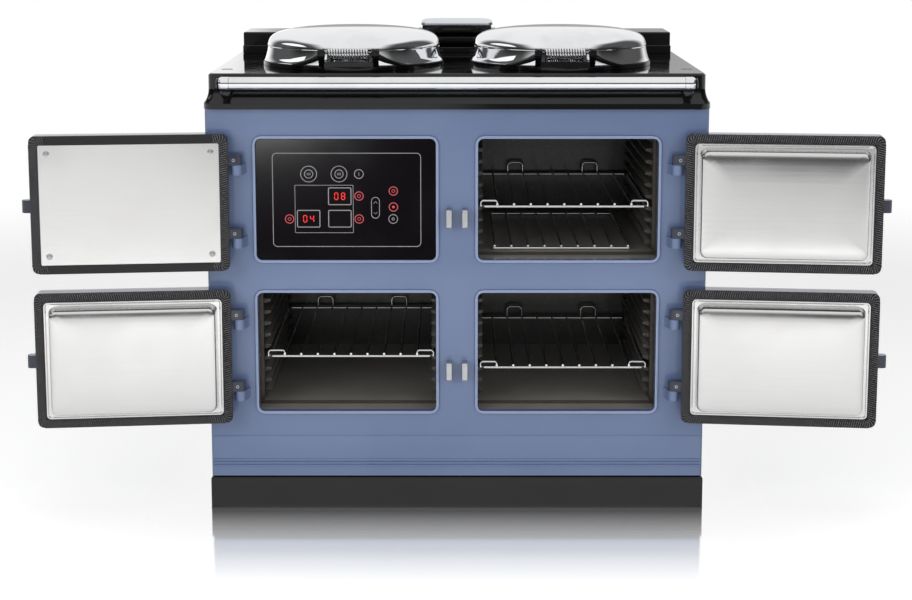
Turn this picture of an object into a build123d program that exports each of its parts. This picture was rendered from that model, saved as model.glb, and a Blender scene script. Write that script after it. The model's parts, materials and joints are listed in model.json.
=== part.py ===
from build123d import *
import os
from math import asin, atan2, cos, degrees, floor, pi, sin, sqrt

# A cast-iron range cooker: three ovens, two hotplates under domed lids, a touch control panel.
# Millimetres. Origin at the middle of the plinth's underside, +X to the viewer's right, +Y to the rear, +Z up.
# The doors are modelled closed, each about its hinge axis, and then swung open to where they rest.

# Clearances
seat_gap = 0.3
panel_gap = 0.5
running_clearance = 0.06
oven_gap = 1.0

# Body
body_width = 982.0
body_depth = 640.0
hob_height = 875.0
plinth_overhang = 2.5
plinth_height = 64.0
plinth_wall = 2.5
plinth_flange = 28.0
plinth_bead = 2.0
base_frame_height = 2.4
base_frame_setback = 8.0
sheet_wall = 2.5
foot_pad_radius = 20.0
foot_inset = 56.0
foot_pad_height = 7.0
foot_stud_radius = 7.0

# Front plate, a casting with raised trims, a groove and a ribbed moulding
front_thickness = 12.0
front_edge = 4.0
opening_width = 352.0
opening_height = 240.0
opening_corner = 11.0
opening_spacing = 435.0
opening_drop = 247.5
opening_pitch = 306.0
trim_width = 7.0
trim_height = 6.0
trim_draft = 12.0
groove_height = 149.5
groove_width = 4.0
groove_depth = 2.0
moulding_height = 94.0
moulding_pitch = 6.0
moulding_bead = 5.2
moulding_rise = 2.6
moulding_beads = 3

# Top plate
lip_side_overhang = 2.5
lip_overhang = 14.0
lip_thickness = 11.0
apron_height = 69.0
apron_flare = 10.0
apron_flare_height = 28.0
apron_wall = 8.0
apron_corner = 16.0
deck_thickness = 14.0
deck_edge = 3.5
plate_rear_overhang = 8.0

# Hotplates
hotplate_spacing = 424.0
hotplate_setback = 238.0
hotplate_radius = 161.0
hotplate_thickness = 45.0
hotplate_gap = 2.3
element_section = 8.0
element_inset = 40.0

# Lids
lid_radius = 185.5
lid_base_height = 8.0
lid_lift = 0.4
skirt_foot_radius = 184.0
skirt_top_radius = 175.5
skirt_height = 28.5
dome_profile = ((168.0, 18.0), (157.0, 28.0), (115.0, 37.0), (60.0, 41.0))
dome_wall = 4.0
cover_sides = 54
lid_hinge_setback = 18.5
lid_hinge_height = 26.0
lid_barrel_radius = 9.0
lid_barrel_length = 110.0
lid_pin_radius = 5.0
lid_post_width = 10.0
lid_bracket_base = 4.0

# Wound handle of a lid
grip_reach = 19.5
grip_height = 36.9
grip_length = 92.0
grip_turns = 15
grip_end_radius = 7.0
grip_middle_radius = 11.0
grip_wire = 4.4
grip_steps = 8
grip_core_radius = 1.8
grip_block_width = 14.0
grip_block_depth = 17.0
grip_block_height = 18.0
grip_foot_radius = 120.0
grip_web_height = 11.0
grip_web_thickness = 4.0
grip_leg_thickness = 6.0

# Handrail
rail_radius = 12.0
rail_reach = 55.0
rail_drop = 14.0
rail_bracket_inset = 36.5
rail_bracket_width = 24.0
rail_foot_thickness = 5.0
rail_head_wall = 3.0
rail_seat = 0.02

# Rear risers and the vent cowl
riser_inset = 12.5
riser_height = 47.0
riser_setback = 517.0
riser_wall = 2.0
riser_step_height = 17.0
riser_step = 1.5
cowl_gap = 4.0
cowl_width = 153.0
cowl_flange_width = 174.0
cowl_setback = 546.0
cowl_depth = 84.0
cowl_height = 60.0
cowl_wall = 3.0
cowl_band_height = 13.0
cowl_slot_height = 13.0
cowl_slat_height = 10.0
cowl_slots = 2
cap_overhang = 3.0
cap_rise = 13.0
cap_edge = 5.0
cap_corner = 14.0

# Hinges of the doors
hinge_offset = 427.5
hinge_depth = 12.0
hinge_spread = 144.0
door_open_angle = 174.0
knuckle_radius = 11.0
knuckle_height = 19.5
knuckle_sides = 12
pin_radius = 4.0
pin_height = 16.0
boss_foot_inner = 17.0
boss_foot_outer = 13.0

# Doors
door_width = 378.0
door_height = 268.0
door_thickness = 34.0
door_corner = 12.0
door_hinge_gap = 16.0
door_stand_off = 7.0
door_wall = 8.0
door_rim = 20.0
door_panel_inset = 28.0
door_panel_rise = 3.0
lug_reach = 17.0
lug_height = 25.0
lug_drop = 3.0
lug_thickness = 20.0
seal_width = 15.0
seal_border = 2.0
seal_corner = 10.0
seal_inner_corner = 8.0
pan_depth = 33.0
pan_flange = 9.0
pan_flange_rise = 4.0
pan_draft = 9.0
pan_corner = 14.0
pan_wall = 1.5
control_panel_rise = 4.0
handle_inset = 32.0
handle_stand_off = 30.0
handle_grip_radius = 8.0
handle_grip_swell = 11.0
handle_grip_sides = 10
handle_post_radius = 6.0

# Catches between the doors
catch_offset = 15.5
catch_width = 10.5
catch_reach = 30.0
catch_bar_height = 32.5
catch_bar_chamfer = 3.0
catch_head_height = 4.5
catch_head_overhang = 1.5

# Ovens
oven_offset = 214.0
oven_width = 349.0
oven_height = 254.0
oven_depth = 490.0
oven_mouth = 46.0
oven_wall = 5.0
oven_floor_step = 6.0
oven_lip = 4.0
runner_width = 12.0
runner_height = 9.0
runner_nose = 5.0
runner_pitch = 23.5
first_runner = 16.5
runner_inset = 22.0

# Wire shelves
shelf_width = 340.0
shelf_bar_radius = 3.0
shelf_rod_radius = 2.3
shelf_rods = 9
shelf_rod_pitch = 33.4
shelf_front_gap = 5.0
shelf_rear_gap = 24.0
shelf_stop_height = 12.0
shelf_loop_height = 26.0
shelf_loop_corner = 8.0
shelf_weld = 0.6
grid_offset = 4.5
grid_front_gap = 18.0
grid_rear_gap = 42.0

# Control panel
glass_thickness = 4.0
glass_proud = 1.0
glass_gap = 0.5
housing_depth = 52.0
peg_width = 12.0
board_thickness = 2.0
board_border = 24.0
board_gap = 5.0
display_width = 46.0
display_height = 36.0
display_depth = 8.0
display_offset = 9.0
display_spacing = 62.0
display_drop = 36.0

# Rear panel and supply
rear_wall = 2.0
rear_field_rise = 4.0
rear_field_width = 740.0
rear_field_height = 180.0
rear_field_places = (418.0, 638.0)
terminal_width = 140.0
terminal_height = 100.0
terminal_depth = 46.0
terminal_inset = 161.0
terminal_centre_height = 190.0
terminal_wall = 2.5
gland_radius = 13.0
gland_bore = 7.0
gland_length = 34.0
gland_nut_radius = 16.0
gland_nut_height = 9.0

# Planes, widths and heights that follow
plinth_width = body_width + 2 * plinth_overhang
lip_width = body_width + 2 * lip_side_overhang
front_face = -body_depth / 2
rear_face = body_depth / 2
front_back = front_face + front_thickness
front_bottom = plinth_height + seat_gap + base_frame_height + seat_gap
lip_bottom = hob_height - apron_height
front_top = lip_bottom - seat_gap
deck_bottom = hob_height - deck_thickness
deck_width = lip_width - 2 * apron_flare
riser_width = deck_width - 2 * riser_inset
rail_bracket_offset = deck_width / 2 - rail_bracket_inset
deck_front = front_face - lip_overhang + apron_flare
deck_rear = rear_face + plate_rear_overhang
opening_offset = opening_spacing / 2
upper_opening_height = hob_height - opening_drop
lower_opening_height = upper_opening_height - opening_pitch
hotplate_offset = hotplate_spacing / 2
hotplate_y = deck_front + hotplate_setback
hotplate_bottom = hob_height - hotplate_thickness
trim_face = front_face - trim_height
hinge_y = trim_face - door_stand_off - hinge_depth
mouth_y = front_back + oven_mouth
cavity_rear = mouth_y + oven_depth
shelf_depth = oven_depth - shelf_front_gap - shelf_rear_gap
grid_depth = oven_depth - grid_front_gap - grid_rear_gap
lid_bottom = hob_height + lid_lift
lid_base_top = lid_bottom + lid_base_height
skirt_foot = lid_base_top + seat_gap
skirt_top = skirt_foot + skirt_height
grip_y = -(lid_radius + grip_reach)
grip_z = hob_height + grip_height
lid_hinge_y = lid_radius + lid_hinge_setback
lid_hinge_z = hob_height + lid_hinge_height
rail_y = deck_front - rail_reach
rail_z = hob_height - rail_drop
door_middle = -(door_hinge_gap + door_width / 2)
door_free_edge = -(door_hinge_gap + door_width)
door_outside = hinge_depth - door_thickness
seal_inner_width = door_width - 2 * (seal_border + seal_width)
seal_inner_height = door_height - 2 * (seal_border + seal_width)
glass_back = front_face - glass_proud + glass_thickness
board_back = glass_back + panel_gap + display_depth + board_thickness
housing_back = front_back + housing_depth
terminal_offset = body_width / 2 - terminal_inset


# Helpers
def front_plane(y):
    """A drawing plane that faces the front, with x across and y up."""
    return Plane(origin=(0, y, 0), x_dir=(1, 0, 0), z_dir=(0, -1, 0))


def rear_plane(y, x=0.0, z=0.0):
    """A drawing plane that faces the rear, with y up."""
    return Plane(origin=(x, y, z), x_dir=(-1, 0, 0), z_dir=(0, 1, 0))


def flat_corners(width, height, corner, flats=1):
    """A rectangle whose round corners are drawn as flats."""
    points = []
    for quarter in range(4):
        x = (width / 2 - corner) * (1 if quarter in (0, 3) else -1)
        y = (height / 2 - corner) * (1 if quarter in (0, 1) else -1)
        for i in range(flats + 1):
            angle = pi / 2 * (quarter + i / flats)
            points.append((x + corner * cos(angle), y + corner * sin(angle)))
    return make_face(Polyline(*points, close=True))


def slab(outline, x, z, back, thickness, draft=0.0):
    """An outline that faces the front, drawn forward from its back."""
    return front_plane(back).location * Pos(x, z) * extrude(outline, thickness, taper=draft)


def block(x0, x1, y0, y1, z0, z1):
    """A block between two corners."""
    middle = Pos((x0 + x1) / 2, (y0 + y1) / 2, (z0 + z1) / 2)
    return middle * Box(x1 - x0, y1 - y0, z1 - z0)


def disc(radius, bottom, top, x=0.0, y=0.0):
    """An upright cylinder."""
    return Pos(x, y, (bottom + top) / 2) * Cylinder(radius, top - bottom)


def bar(radius, x0, x1, y, z):
    """A cylinder that lies across."""
    return Pos((x0 + x1) / 2, y, z) * Rot(0, 90, 0) * Cylinder(radius, x1 - x0)


def prism(sides, radius, bottom, top, x, y):
    """An upright prism with flats."""
    return extrude(Pos(x, y, bottom) * RegularPolygon(radius, sides), top - bottom)


def flat_turning(sides, profile):
    """A turned piece drawn with flats, from a profile given as (radius, height) points."""
    pieces = []
    for (foot, low), (top, high) in zip(profile, profile[1:]):
        draft = degrees(atan2((foot - top) * cos(pi / sides), high - low))
        pieces.append(extrude(Pos(0, 0, low) * RegularPolygon(foot, sides), high - low, taper=draft))
    return joined(*pieces)


def rod(start, end, radius, sides=6):
    """A straight wire with flats."""
    run = Vector(*end) - Vector(*start)
    return extrude(Plane(origin=start, z_dir=run) * RegularPolygon(radius, sides), run.length)


def bent_wire(points, corner, radius, sides=6):
    """A wire along straight runs, its corners cut at 45 degrees."""
    marks = [Vector(*point) for point in points]
    route = marks[:1]
    for before, at, after in zip(marks, marks[1:], marks[2:]):
        route += [at + (before - at).normalized() * corner, at + (after - at).normalized() * corner]
    route += marks[-1:]
    section = Plane(origin=route[0], z_dir=route[1] - route[0]) * RegularPolygon(radius, sides)
    return sweep(section, Polyline(*route), transition=Transition.RIGHT)


def along_x(profile, x0, x1):
    """A profile given as (y, z) points, drawn out from x0 to x1."""
    face = make_face(Polyline(*[(x0, y, z) for y, z in profile], close=True))
    return extrude(face, x1 - x0, dir=(1, 0, 0))


def across(shape, side):
    """The same piece for the right-hand side, 1, or mirrored for the left-hand side, -1."""
    return shape if side > 0 else mirror(shape, about=Plane.YZ)


def joined(first, *others):
    """One solid of pieces that run into each other."""
    whole = first
    for other in others:
        whole = whole + other
    return whole


def door_places():
    """Each door as (name, side, height of its middle)."""
    return [
        ("upper_left", -1, upper_opening_height),
        ("upper_right", 1, upper_opening_height),
        ("lower_left", -1, lower_opening_height),
        ("lower_right", 1, lower_opening_height),
    ]


def oven_places():
    """Each oven as (name, side, height of its opening's middle): the fourth opening holds the controls."""
    return [place for place in door_places() if place[0] != "upper_left"]


# Body
def make_plinth():
    """A sheet plinth with a flat base, turned in at the top, and a bead along its front foot."""
    half, front, rear = plinth_width / 2, front_face + plinth_bead, rear_face - plinth_bead
    wall, flange = plinth_wall, plinth_flange
    shell = block(-half, half, front, rear, 0, plinth_height)
    hollow = block(-half + wall, half - wall, front + wall, rear - wall, wall, plinth_height - wall)
    mouth = block(-half + flange, half - flange, front + flange, rear - flange, wall, plinth_height + 1)
    bead = along_x([(front + 1, 0), (front - plinth_bead, 0), (front - plinth_bead, plinth_bead),
                    (front + 1, 2 * plinth_bead + 1)], -half, half)
    return shell - hollow - mouth + bead


def make_levelling_feet():
    """Four threaded feet on the plinth's base, which carry the base frame."""
    feet = []
    for x in (-1, 1):
        for y in (-1, 1):
            place = x * (plinth_width / 2 - foot_inset), y * (rear_face - foot_inset)
            low = plinth_wall + seat_gap
            pad = prism(6, foot_pad_radius, low, low + foot_pad_height, *place)
            feet.append(pad + prism(6, foot_stud_radius, low + 1, plinth_height, *place))
    return feet


def make_base_frame():
    """A plate set back from the front, which leaves a shadow line over the plinth."""
    half = (body_width - base_frame_setback) / 2
    bottom = plinth_height + seat_gap
    return block(-half, half, front_face + base_frame_setback, rear_face - rear_wall,
                 bottom, bottom + base_frame_height)


def hinge_heights(middle):
    return middle - hinge_spread / 2, middle + hinge_spread / 2


def make_hinge_boss():
    """The plate's half of a hinge, about its own axis: a knuckle and the pin that the door hangs on."""
    foot = hinge_depth + door_stand_off + trim_height + panel_gap
    web = make_face(Polyline((-boss_foot_inner, foot), (boss_foot_outer, foot), (knuckle_radius, 0),
                             (-knuckle_radius, 0), close=True))
    knuckle = RegularPolygon(knuckle_radius, knuckle_sides)
    return extrude(web + knuckle, -knuckle_height) + disc(pin_radius, -1, pin_height)


def make_front_plate():
    """An enamelled casting: raised trims round the openings, hinge bosses, a groove and a ribbed moulding."""
    half = body_width / 2
    plate = block(-half, half, front_face, front_back, front_bottom, front_top)
    uprights = plate.edges().filter_by(Axis.Z).group_by(Axis.Y)[0]
    plate = chamfer(uprights, front_edge)
    reach = front_face + groove_depth
    plate -= along_x([(front_face - 1, groove_height - groove_width), (reach, groove_height),
                      (front_face - 1, groove_height + groove_width)], -half - 1, half + 1)
    for bead in range(moulding_beads):
        z = moulding_height + moulding_pitch * (bead - (moulding_beads - 1) / 2)
        rise = front_face - moulding_rise
        plate += along_x([(front_face + 1, z - moulding_bead / 2), (front_face, z - moulding_bead / 2),
                          (rise, z - moulding_bead / 4), (rise, z + moulding_bead / 4),
                          (front_face, z + moulding_bead / 2), (front_face + 1, z + moulding_bead / 2)],
                         -half + front_edge, half - front_edge)
    boss = make_hinge_boss()
    for _, side, middle in door_places():
        x = side * opening_offset
        outline = flat_corners(opening_width + 2 * trim_width, opening_height + 2 * trim_width,
                               opening_corner + trim_width, 3)
        plate += slab(outline, x, middle, front_face, trim_height, trim_draft)
        outline = RectangleRounded(opening_width, opening_height, opening_corner)
        plate -= slab(outline, x, middle, front_back + 1, front_thickness + trim_height + 2)
        for z in hinge_heights(middle):
            plate += Pos(side * hinge_offset, hinge_y, z) * across(boss, side)
    return plate


def make_door_catches():
    """A bright bar under a dark head for each door; the door's lug comes to rest over the head."""
    catches = []
    half = catch_width / 2
    for _, side, middle in door_places():
        head_top = middle - lug_drop - lug_height / 2 - 2 * seat_gap
        head_bottom = head_top - catch_head_height
        tip = front_face - catch_reach
        stem = block(-half, half, tip, front_face - seat_gap, head_bottom - catch_bar_height, head_bottom + 1)
        stem = chamfer(stem.edges().filter_by(Axis.X).group_by(Axis.Y)[0].sort_by(Axis.Z)[0], catch_bar_chamfer)
        head = block(-half, half, tip - catch_head_overhang, front_face - seat_gap, head_bottom, head_top)
        catches.append(Pos(side * catch_offset, 0, 0) * (stem + head))
    return catches


def make_side_panels():
    """Two sheets behind the front plate, their rear edges turned in."""
    outer = body_width / 2
    rear = rear_face - rear_wall - seat_gap
    low = front_bottom
    panel = block(outer - sheet_wall, outer, front_back + seat_gap, rear, low, front_top)
    hem = block(outer - plinth_flange, outer, rear - sheet_wall, rear, low, front_top)
    return [across(panel + hem, side) for side in (1, -1)]


def make_rear_panel():
    """A sheet with two pressed fields."""
    half = body_width / 2 - 1
    panel = block(-half, half, rear_face - rear_wall, rear_face, front_bottom, front_top)
    field = Rectangle(rear_field_width, rear_field_height)
    for z in rear_field_places:
        plane = rear_plane(rear_face, z=z)
        panel += plane.location * extrude(field, rear_field_rise, taper=45)
    return panel


def make_top_plate():
    """A shell whose apron curves out to a lip round the front and sides, with a well for each hotplate."""
    half, corner = deck_width / 2, apron_corner
    path = FilletPolyline((-half, deck_rear, 0), (-half, deck_front, 0), (half, deck_front, 0),
                          (half, deck_rear, 0), radius=corner)
    lip_top = lip_bottom + lip_thickness
    # The flare is an arc that leaves the upright apron along its own direction
    turn = 2 * asin(apron_flare / sqrt(apron_flare**2 + apron_flare_height**2))
    flare_radius = apron_flare_height / sin(turn)
    middle_out = flare_radius * (1 - cos(turn / 2))
    middle_z = lip_top + apron_flare_height - flare_radius * sin(turn / 2)

    def point(out, z):
        return (-half - out, deck_rear, z)

    outline = [
        Polyline(point(apron_flare, lip_top), point(apron_flare, lip_bottom), point(-apron_wall, lip_bottom),
                 point(-apron_wall, hob_height), point(-deck_edge, hob_height),
                 point(0, hob_height - deck_edge), point(0, lip_top + apron_flare_height)),
        ThreePointArc(point(0, lip_top + apron_flare_height), point(middle_out, middle_z),
                      point(apron_flare, lip_top)),
    ]
    apron = sweep(make_face(outline), path)
    inset = apron_wall - 1
    depth = deck_rear - deck_front - inset
    deck = RectangleRounded(deck_width - 2 * inset, depth, corner - inset)
    plate = Pos(0, deck_rear - depth / 2, deck_bottom) * extrude(deck, deck_thickness) + apron
    for side in (-1, 1):
        plate -= disc(hotplate_radius + hotplate_gap, deck_bottom - 1, hob_height + 1,
                      side * hotplate_offset, hotplate_y)
    return plate


def make_handrail():
    """A tube between the heads of its brackets."""
    half = rail_bracket_offset - rail_bracket_width / 2 - rail_seat
    return bar(rail_radius, -half, half, rail_y, rail_z)


def make_handrail_brackets():
    """A foot on the apron, an arm that leans out from it, and a round head at the rail's end."""
    low = lip_bottom + lip_thickness + apron_flare_height
    foot = deck_front - seat_gap
    head = rail_radius + rail_head_wall
    half = rail_bracket_width / 2
    arm = along_x([(foot - rail_foot_thickness, low), (foot - rail_foot_thickness, rail_z + head / 2),
                   (rail_y, rail_z + head / 2), (rail_y, rail_z - head * 0.8),
                   (rail_y + head, rail_z - head * 0.8)], -half + 3, half - 3)
    plate = block(-half, half, foot - rail_foot_thickness - 1, foot, low, hob_height - deck_edge)
    bracket = joined(plate, arm, bar(head, -half, half, rail_y, rail_z))
    return [Pos(side * rail_bracket_offset, 0, 0) * bracket for side in (-1, 1)]


def make_rear_riser():
    """Two enamelled ledges, one each side of the cowl, open underneath."""
    front, rear = deck_front + riser_setback, deck_rear - riser_wall
    inner, outer = cowl_flange_width / 2 + cowl_gap, riser_width / 2
    bottom, top = hob_height + seat_gap, hob_height + riser_height
    wall, step = riser_wall, riser_step
    ledge = block(inner, outer, front, rear, bottom, top)
    ledge = chamfer(ledge.edges().group_by(Axis.Z)[-1], wall)
    foot = block(inner, outer + step, front - step, rear, bottom, hob_height + riser_step_height)
    hollow = block(inner + wall, outer - wall, front + wall, rear - wall, bottom - 1, top - wall)
    return [across(ledge + foot - hollow, side) for side in (1, -1)]


def make_vent_cowl():
    """A louvred housing, open underneath, with a flange near its top."""
    front = deck_front + cowl_setback
    rear = front + cowl_depth
    half, wall, flange = cowl_width / 2, cowl_wall, cowl_flange_width / 2
    bottom, top = hob_height + seat_gap, hob_height + cowl_height
    band = top - cowl_band_height
    cowl = block(-half, half, front, rear, bottom, top)
    cowl += block(-flange, flange, front + 2 * wall, rear, band, band + wall)
    cowl -= block(-half + wall, half - wall, front + wall, rear - wall, bottom - 1, top - wall)
    for slot in range(cowl_slots):
        slot_top = band - slot * (cowl_slot_height + cowl_slat_height)
        inner = half - 2 * wall
        cowl -= block(-inner, inner, front - 1, front + wall + 1, slot_top - cowl_slot_height, slot_top)
    return cowl


def make_vent_cap():
    """A low brushed cap with a bevelled crown."""
    width, depth = cowl_width + 2 * cap_overhang, cowl_depth + 2 * cap_overhang
    bottom = hob_height + cowl_height + seat_gap
    middle = Pos(0, deck_front + cowl_setback + cowl_depth / 2, bottom)
    cap = middle * extrude(flat_corners(width, depth, cap_corner), cap_edge)
    crown = extrude(flat_corners(width, depth, cap_corner), cap_rise - cap_edge, taper=45)
    return cap + middle * Pos(0, 0, cap_edge) * crown


# Hotplates, elements and insulation
def make_hotplates():
    """Two cast discs in the plate's wells."""
    return [disc(hotplate_radius, hotplate_bottom, hob_height, side * hotplate_offset, hotplate_y)
            for side in (-1, 1)]


def make_element(width, depth):
    """A tube element bent to a loop, drawn as a square section."""
    loop = Rectangle(width, depth) - Rectangle(width - 2 * element_section, depth - 2 * element_section)
    return extrude(loop, element_section)


def oven_element_top(middle):
    return cavity_floor(middle) - oven_wall - seat_gap


def make_heating_elements():
    """A loop under each hotplate and one under the floor of each oven."""
    width = sqrt(2) * (hotplate_radius - element_inset)
    low = hotplate_bottom - seat_gap - element_section
    loops = [Pos(side * hotplate_offset, hotplate_y, low) * make_element(width, width) for side in (-1, 1)]
    for _, side, middle in oven_places():
        place = Pos(side * oven_offset, mouth_y + oven_depth / 2, oven_element_top(middle) - element_section)
        loops.append(place * make_element(oven_width - 2 * element_inset, oven_depth - 2 * element_inset))
    return loops


def cavity_floor(middle):
    return middle - opening_height / 2 + oven_floor_step


def oven_block(side, middle, gap):
    """The outside of an oven, throat and box together, with a gap all round."""
    wall = oven_wall + gap
    x, half, tall = side * opening_offset, opening_width / 2 + wall, opening_height / 2 + wall
    throat = block(x - half, x + half, front_back + panel_gap - gap, mouth_y + wall, middle - tall, middle + tall)
    x, half, low = side * oven_offset, oven_width / 2 + wall, cavity_floor(middle) - wall
    box = block(x - half, x + half, mouth_y - oven_wall, cavity_rear + wall, low, low + oven_height + 2 * wall)
    return throat + box


def runner_tops(middle):
    """Heights of the runner ribs' tops."""
    count = floor((oven_height - first_runner - runner_height) / runner_pitch) + 1
    return [cavity_floor(middle) + first_runner + runner_pitch * i for i in range(count)]


def make_oven(side, middle):
    """A cast box behind a throat, with ribs along both side walls and a sloped lip to its floor."""
    low = cavity_floor(middle)
    centre, half = side * oven_offset, oven_width / 2
    x, tall = side * opening_offset, opening_height / 2
    cavity = block(centre - half, centre + half, mouth_y, cavity_rear, low, low + oven_height)
    throat = block(x - opening_width / 2, x + opening_width / 2, front_back, mouth_y - oven_wall,
                   middle - tall, middle + tall)
    mouth = block(centre - half, centre + half, mouth_y - oven_wall - 1, mouth_y + 1, low, middle + tall)
    lip = along_x([(mouth_y - oven_wall - 1, low - oven_lip), (mouth_y - oven_wall, low - oven_lip),
                   (mouth_y, low), (mouth_y, low + 1), (mouth_y - oven_wall - 1, low + 1)],
                  centre - half, centre + half)
    oven = oven_block(side, middle, 0) - cavity - throat - mouth - lip
    for top in runner_tops(middle):
        for wall in (-1, 1):
            root, tip = centre + wall * (half + 1), centre + wall * (half - runner_width)
            rib = make_face(Polyline((root, 0, top - runner_height), (root, 0, top), (tip, 0, top),
                                     (tip, 0, top - runner_nose), close=True))
            rib = extrude(rib, oven_depth - 2 * runner_inset, dir=(0, 1, 0))
            oven += Pos(0, mouth_y + runner_inset, 0) * rib
    return oven


def make_insulation():
    """Packing that fills the body round the ovens, their elements, the hotplates and the control housing."""
    half = body_width / 2 - sheet_wall - panel_gap
    front, rear = front_back + panel_gap, rear_face - rear_wall - sheet_wall - 2 * panel_gap
    inner = deck_width / 2 - apron_wall - panel_gap
    packing = block(-half, half, front, rear, front_bottom, front_top)
    packing += block(-inner, inner, front, rear, front_top - 1, deck_bottom - seat_gap)
    room = element_section + panel_gap
    for _, side, middle in oven_places():
        packing -= oven_block(side, middle, oven_gap)
        x, span = side * oven_offset, oven_width / 2 - element_inset + panel_gap
        top = oven_element_top(middle)
        packing -= block(x - span, x + span, mouth_y + element_inset - panel_gap,
                         cavity_rear - element_inset + panel_gap, top - element_section - seat_gap, top + room)
    well = hotplate_radius + hotplate_gap
    for side in (-1, 1):
        x = side * hotplate_offset
        packing -= block(x - well, x + well, hotplate_y - well, hotplate_y + well,
                         hotplate_bottom - element_section - 2 * seat_gap, hob_height)
    x, half, tall = -opening_offset, opening_width / 2, opening_height / 2
    packing -= block(x - half, x + half, front - 1, housing_back + seat_gap, upper_opening_height - tall,
                     upper_opening_height + tall)
    return packing


# Control panel
def make_control_glass():
    """A black glass that fills the upper left opening."""
    outline = RectangleRounded(opening_width - 2 * glass_gap, opening_height - 2 * glass_gap, opening_corner)
    return slab(outline, -opening_offset, upper_opening_height, glass_back, glass_thickness)


def make_control_housing():
    """A steel tray behind the glass, open to the front, with four pegs for the board."""
    width, height = opening_width - 2 * glass_gap, opening_height - 2 * glass_gap
    x, z, wall = -opening_offset, upper_opening_height, sheet_wall
    depth = housing_back - glass_back - seat_gap
    tray = slab(flat_corners(width, height, opening_corner), x, z, housing_back, depth)
    hollow = flat_corners(width - 2 * wall, height - 2 * wall, opening_corner - wall)
    tray -= slab(hollow, x, z, housing_back - wall, depth)
    for across_by in (-0.5, 0.5):
        for up_by in (-0.5, 0.5):
            peg_x = x + across_by * (width - 2 * board_border)
            peg_z = z + up_by * (height - 2 * board_border)
            tray += slab(Rectangle(peg_width, peg_width), peg_x, peg_z, housing_back - wall,
                         housing_back - wall - board_back - seat_gap)
    return tray


def make_control_board():
    """A board on the tray's pegs, with two display blocks that reach the glass."""
    border = 2 * (glass_gap + sheet_wall + board_gap)
    x, z = -opening_offset, upper_opening_height
    board = slab(Rectangle(opening_width - border, opening_height - border), x, z, board_back, board_thickness)
    for step in (-0.5, 0.5):
        block_x = x + display_offset + step * display_spacing
        block_z = z - step * display_drop
        board += slab(Rectangle(display_width, display_height), block_x, block_z, board_back,
                      display_depth + board_thickness)
    return board


# Doors, about their hinge axis: the inside faces +Y when closed
def placed(shape, side, middle):
    """Swings a closed right-hand door open and sets it on its hinges, mirrored for the left-hand side."""
    opened = Pos(hinge_offset, hinge_y, middle) * Rot(0, 0, door_open_angle) * shape
    return across(opened, side)


def make_door():
    """A cast door: a raised field outside, a pocket inside, two hinge lugs and a catch lug."""
    outline = RectangleRounded(door_width, door_height, door_corner)
    door = slab(outline, door_middle, 0, hinge_depth, door_thickness)
    field = Rectangle(door_width - 2 * door_panel_inset, door_height - 2 * door_panel_inset)
    door += slab(field, door_middle, 0, door_outside, door_panel_rise, 45)
    pocket = Rectangle(door_width - 2 * door_rim, door_height - 2 * door_rim)
    door -= slab(pocket, door_middle, 0, hinge_depth + 1, door_thickness - door_wall + 1)
    lug_y = hinge_depth - door_thickness / 2
    half, tip, root = lug_thickness / 2, door_free_edge - lug_reach, door_free_edge + 1
    tongue = make_face(Polyline((root, lug_y - half), (tip + half / 2, lug_y - half), (tip, lug_y - half / 2),
                                (tip, lug_y + half / 2), (tip + half / 2, lug_y + half),
                                (root, lug_y + half), close=True))
    door += Pos(0, 0, -lug_drop - lug_height / 2) * extrude(tongue, lug_height)
    reach = -door_hinge_gap - 1
    web = make_face(Polyline((reach, knuckle_radius), (0, knuckle_radius), (0, -knuckle_radius),
                             (reach, -knuckle_radius), close=True))
    lug = extrude(web + RegularPolygon(knuckle_radius, knuckle_sides), knuckle_height)
    lug -= disc(pin_radius + running_clearance, -1, pin_height)
    for z in hinge_heights(0):
        door += Pos(0, 0, z + seat_gap) * lug
    return door


def make_door_seal():
    """A rope round the door's edge, which meets the trim of the opening when the door is closed."""
    height = door_stand_off - 2 * seat_gap
    outer = flat_corners(door_width - 2 * seal_border, door_height - 2 * seal_border, seal_corner)
    inner = flat_corners(seal_inner_width, seal_inner_height, seal_inner_corner)
    return slab(outer - inner, door_middle, 0, hinge_depth + seat_gap + height, height)


def make_door_liner():
    """A pressed steel pan that stands proud of the door's inside, open at its back."""
    width, height = seal_inner_width - 2 * panel_gap, seal_inner_height - 2 * panel_gap
    wall, foot = pan_wall, hinge_depth + seat_gap
    step = foot + pan_flange_rise
    narrow = 2 * pan_flange

    def inward(outline, y, length, draft=0.0):
        return rear_plane(y, door_middle).location * extrude(outline, length, taper=draft)

    flange = inward(flat_corners(width, height, seal_inner_corner), foot, pan_flange_rise)
    face = flat_corners(width - narrow, height - narrow, pan_corner, 3)
    pan = flange + inward(face, step, pan_depth - pan_flange_rise, pan_draft)
    pan -= inward(flat_corners(width - 2 * wall, height - 2 * wall, seal_inner_corner), foot - 1,
                  pan_flange_rise - wall + 1)
    narrow += 2 * wall
    hollow = flat_corners(width - narrow, height - narrow, pan_corner - wall, 3)
    return pan - inward(hollow, step - wall, pan_depth - pan_flange_rise, pan_draft)


def make_control_door_liner():
    """A flat brushed panel."""
    outline = flat_corners(seal_inner_width - 2 * panel_gap, seal_inner_height - 2 * panel_gap,
                          seal_inner_corner)
    return slab(outline, door_middle, 0, hinge_depth + seat_gap + control_panel_rise, control_panel_rise)


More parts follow.
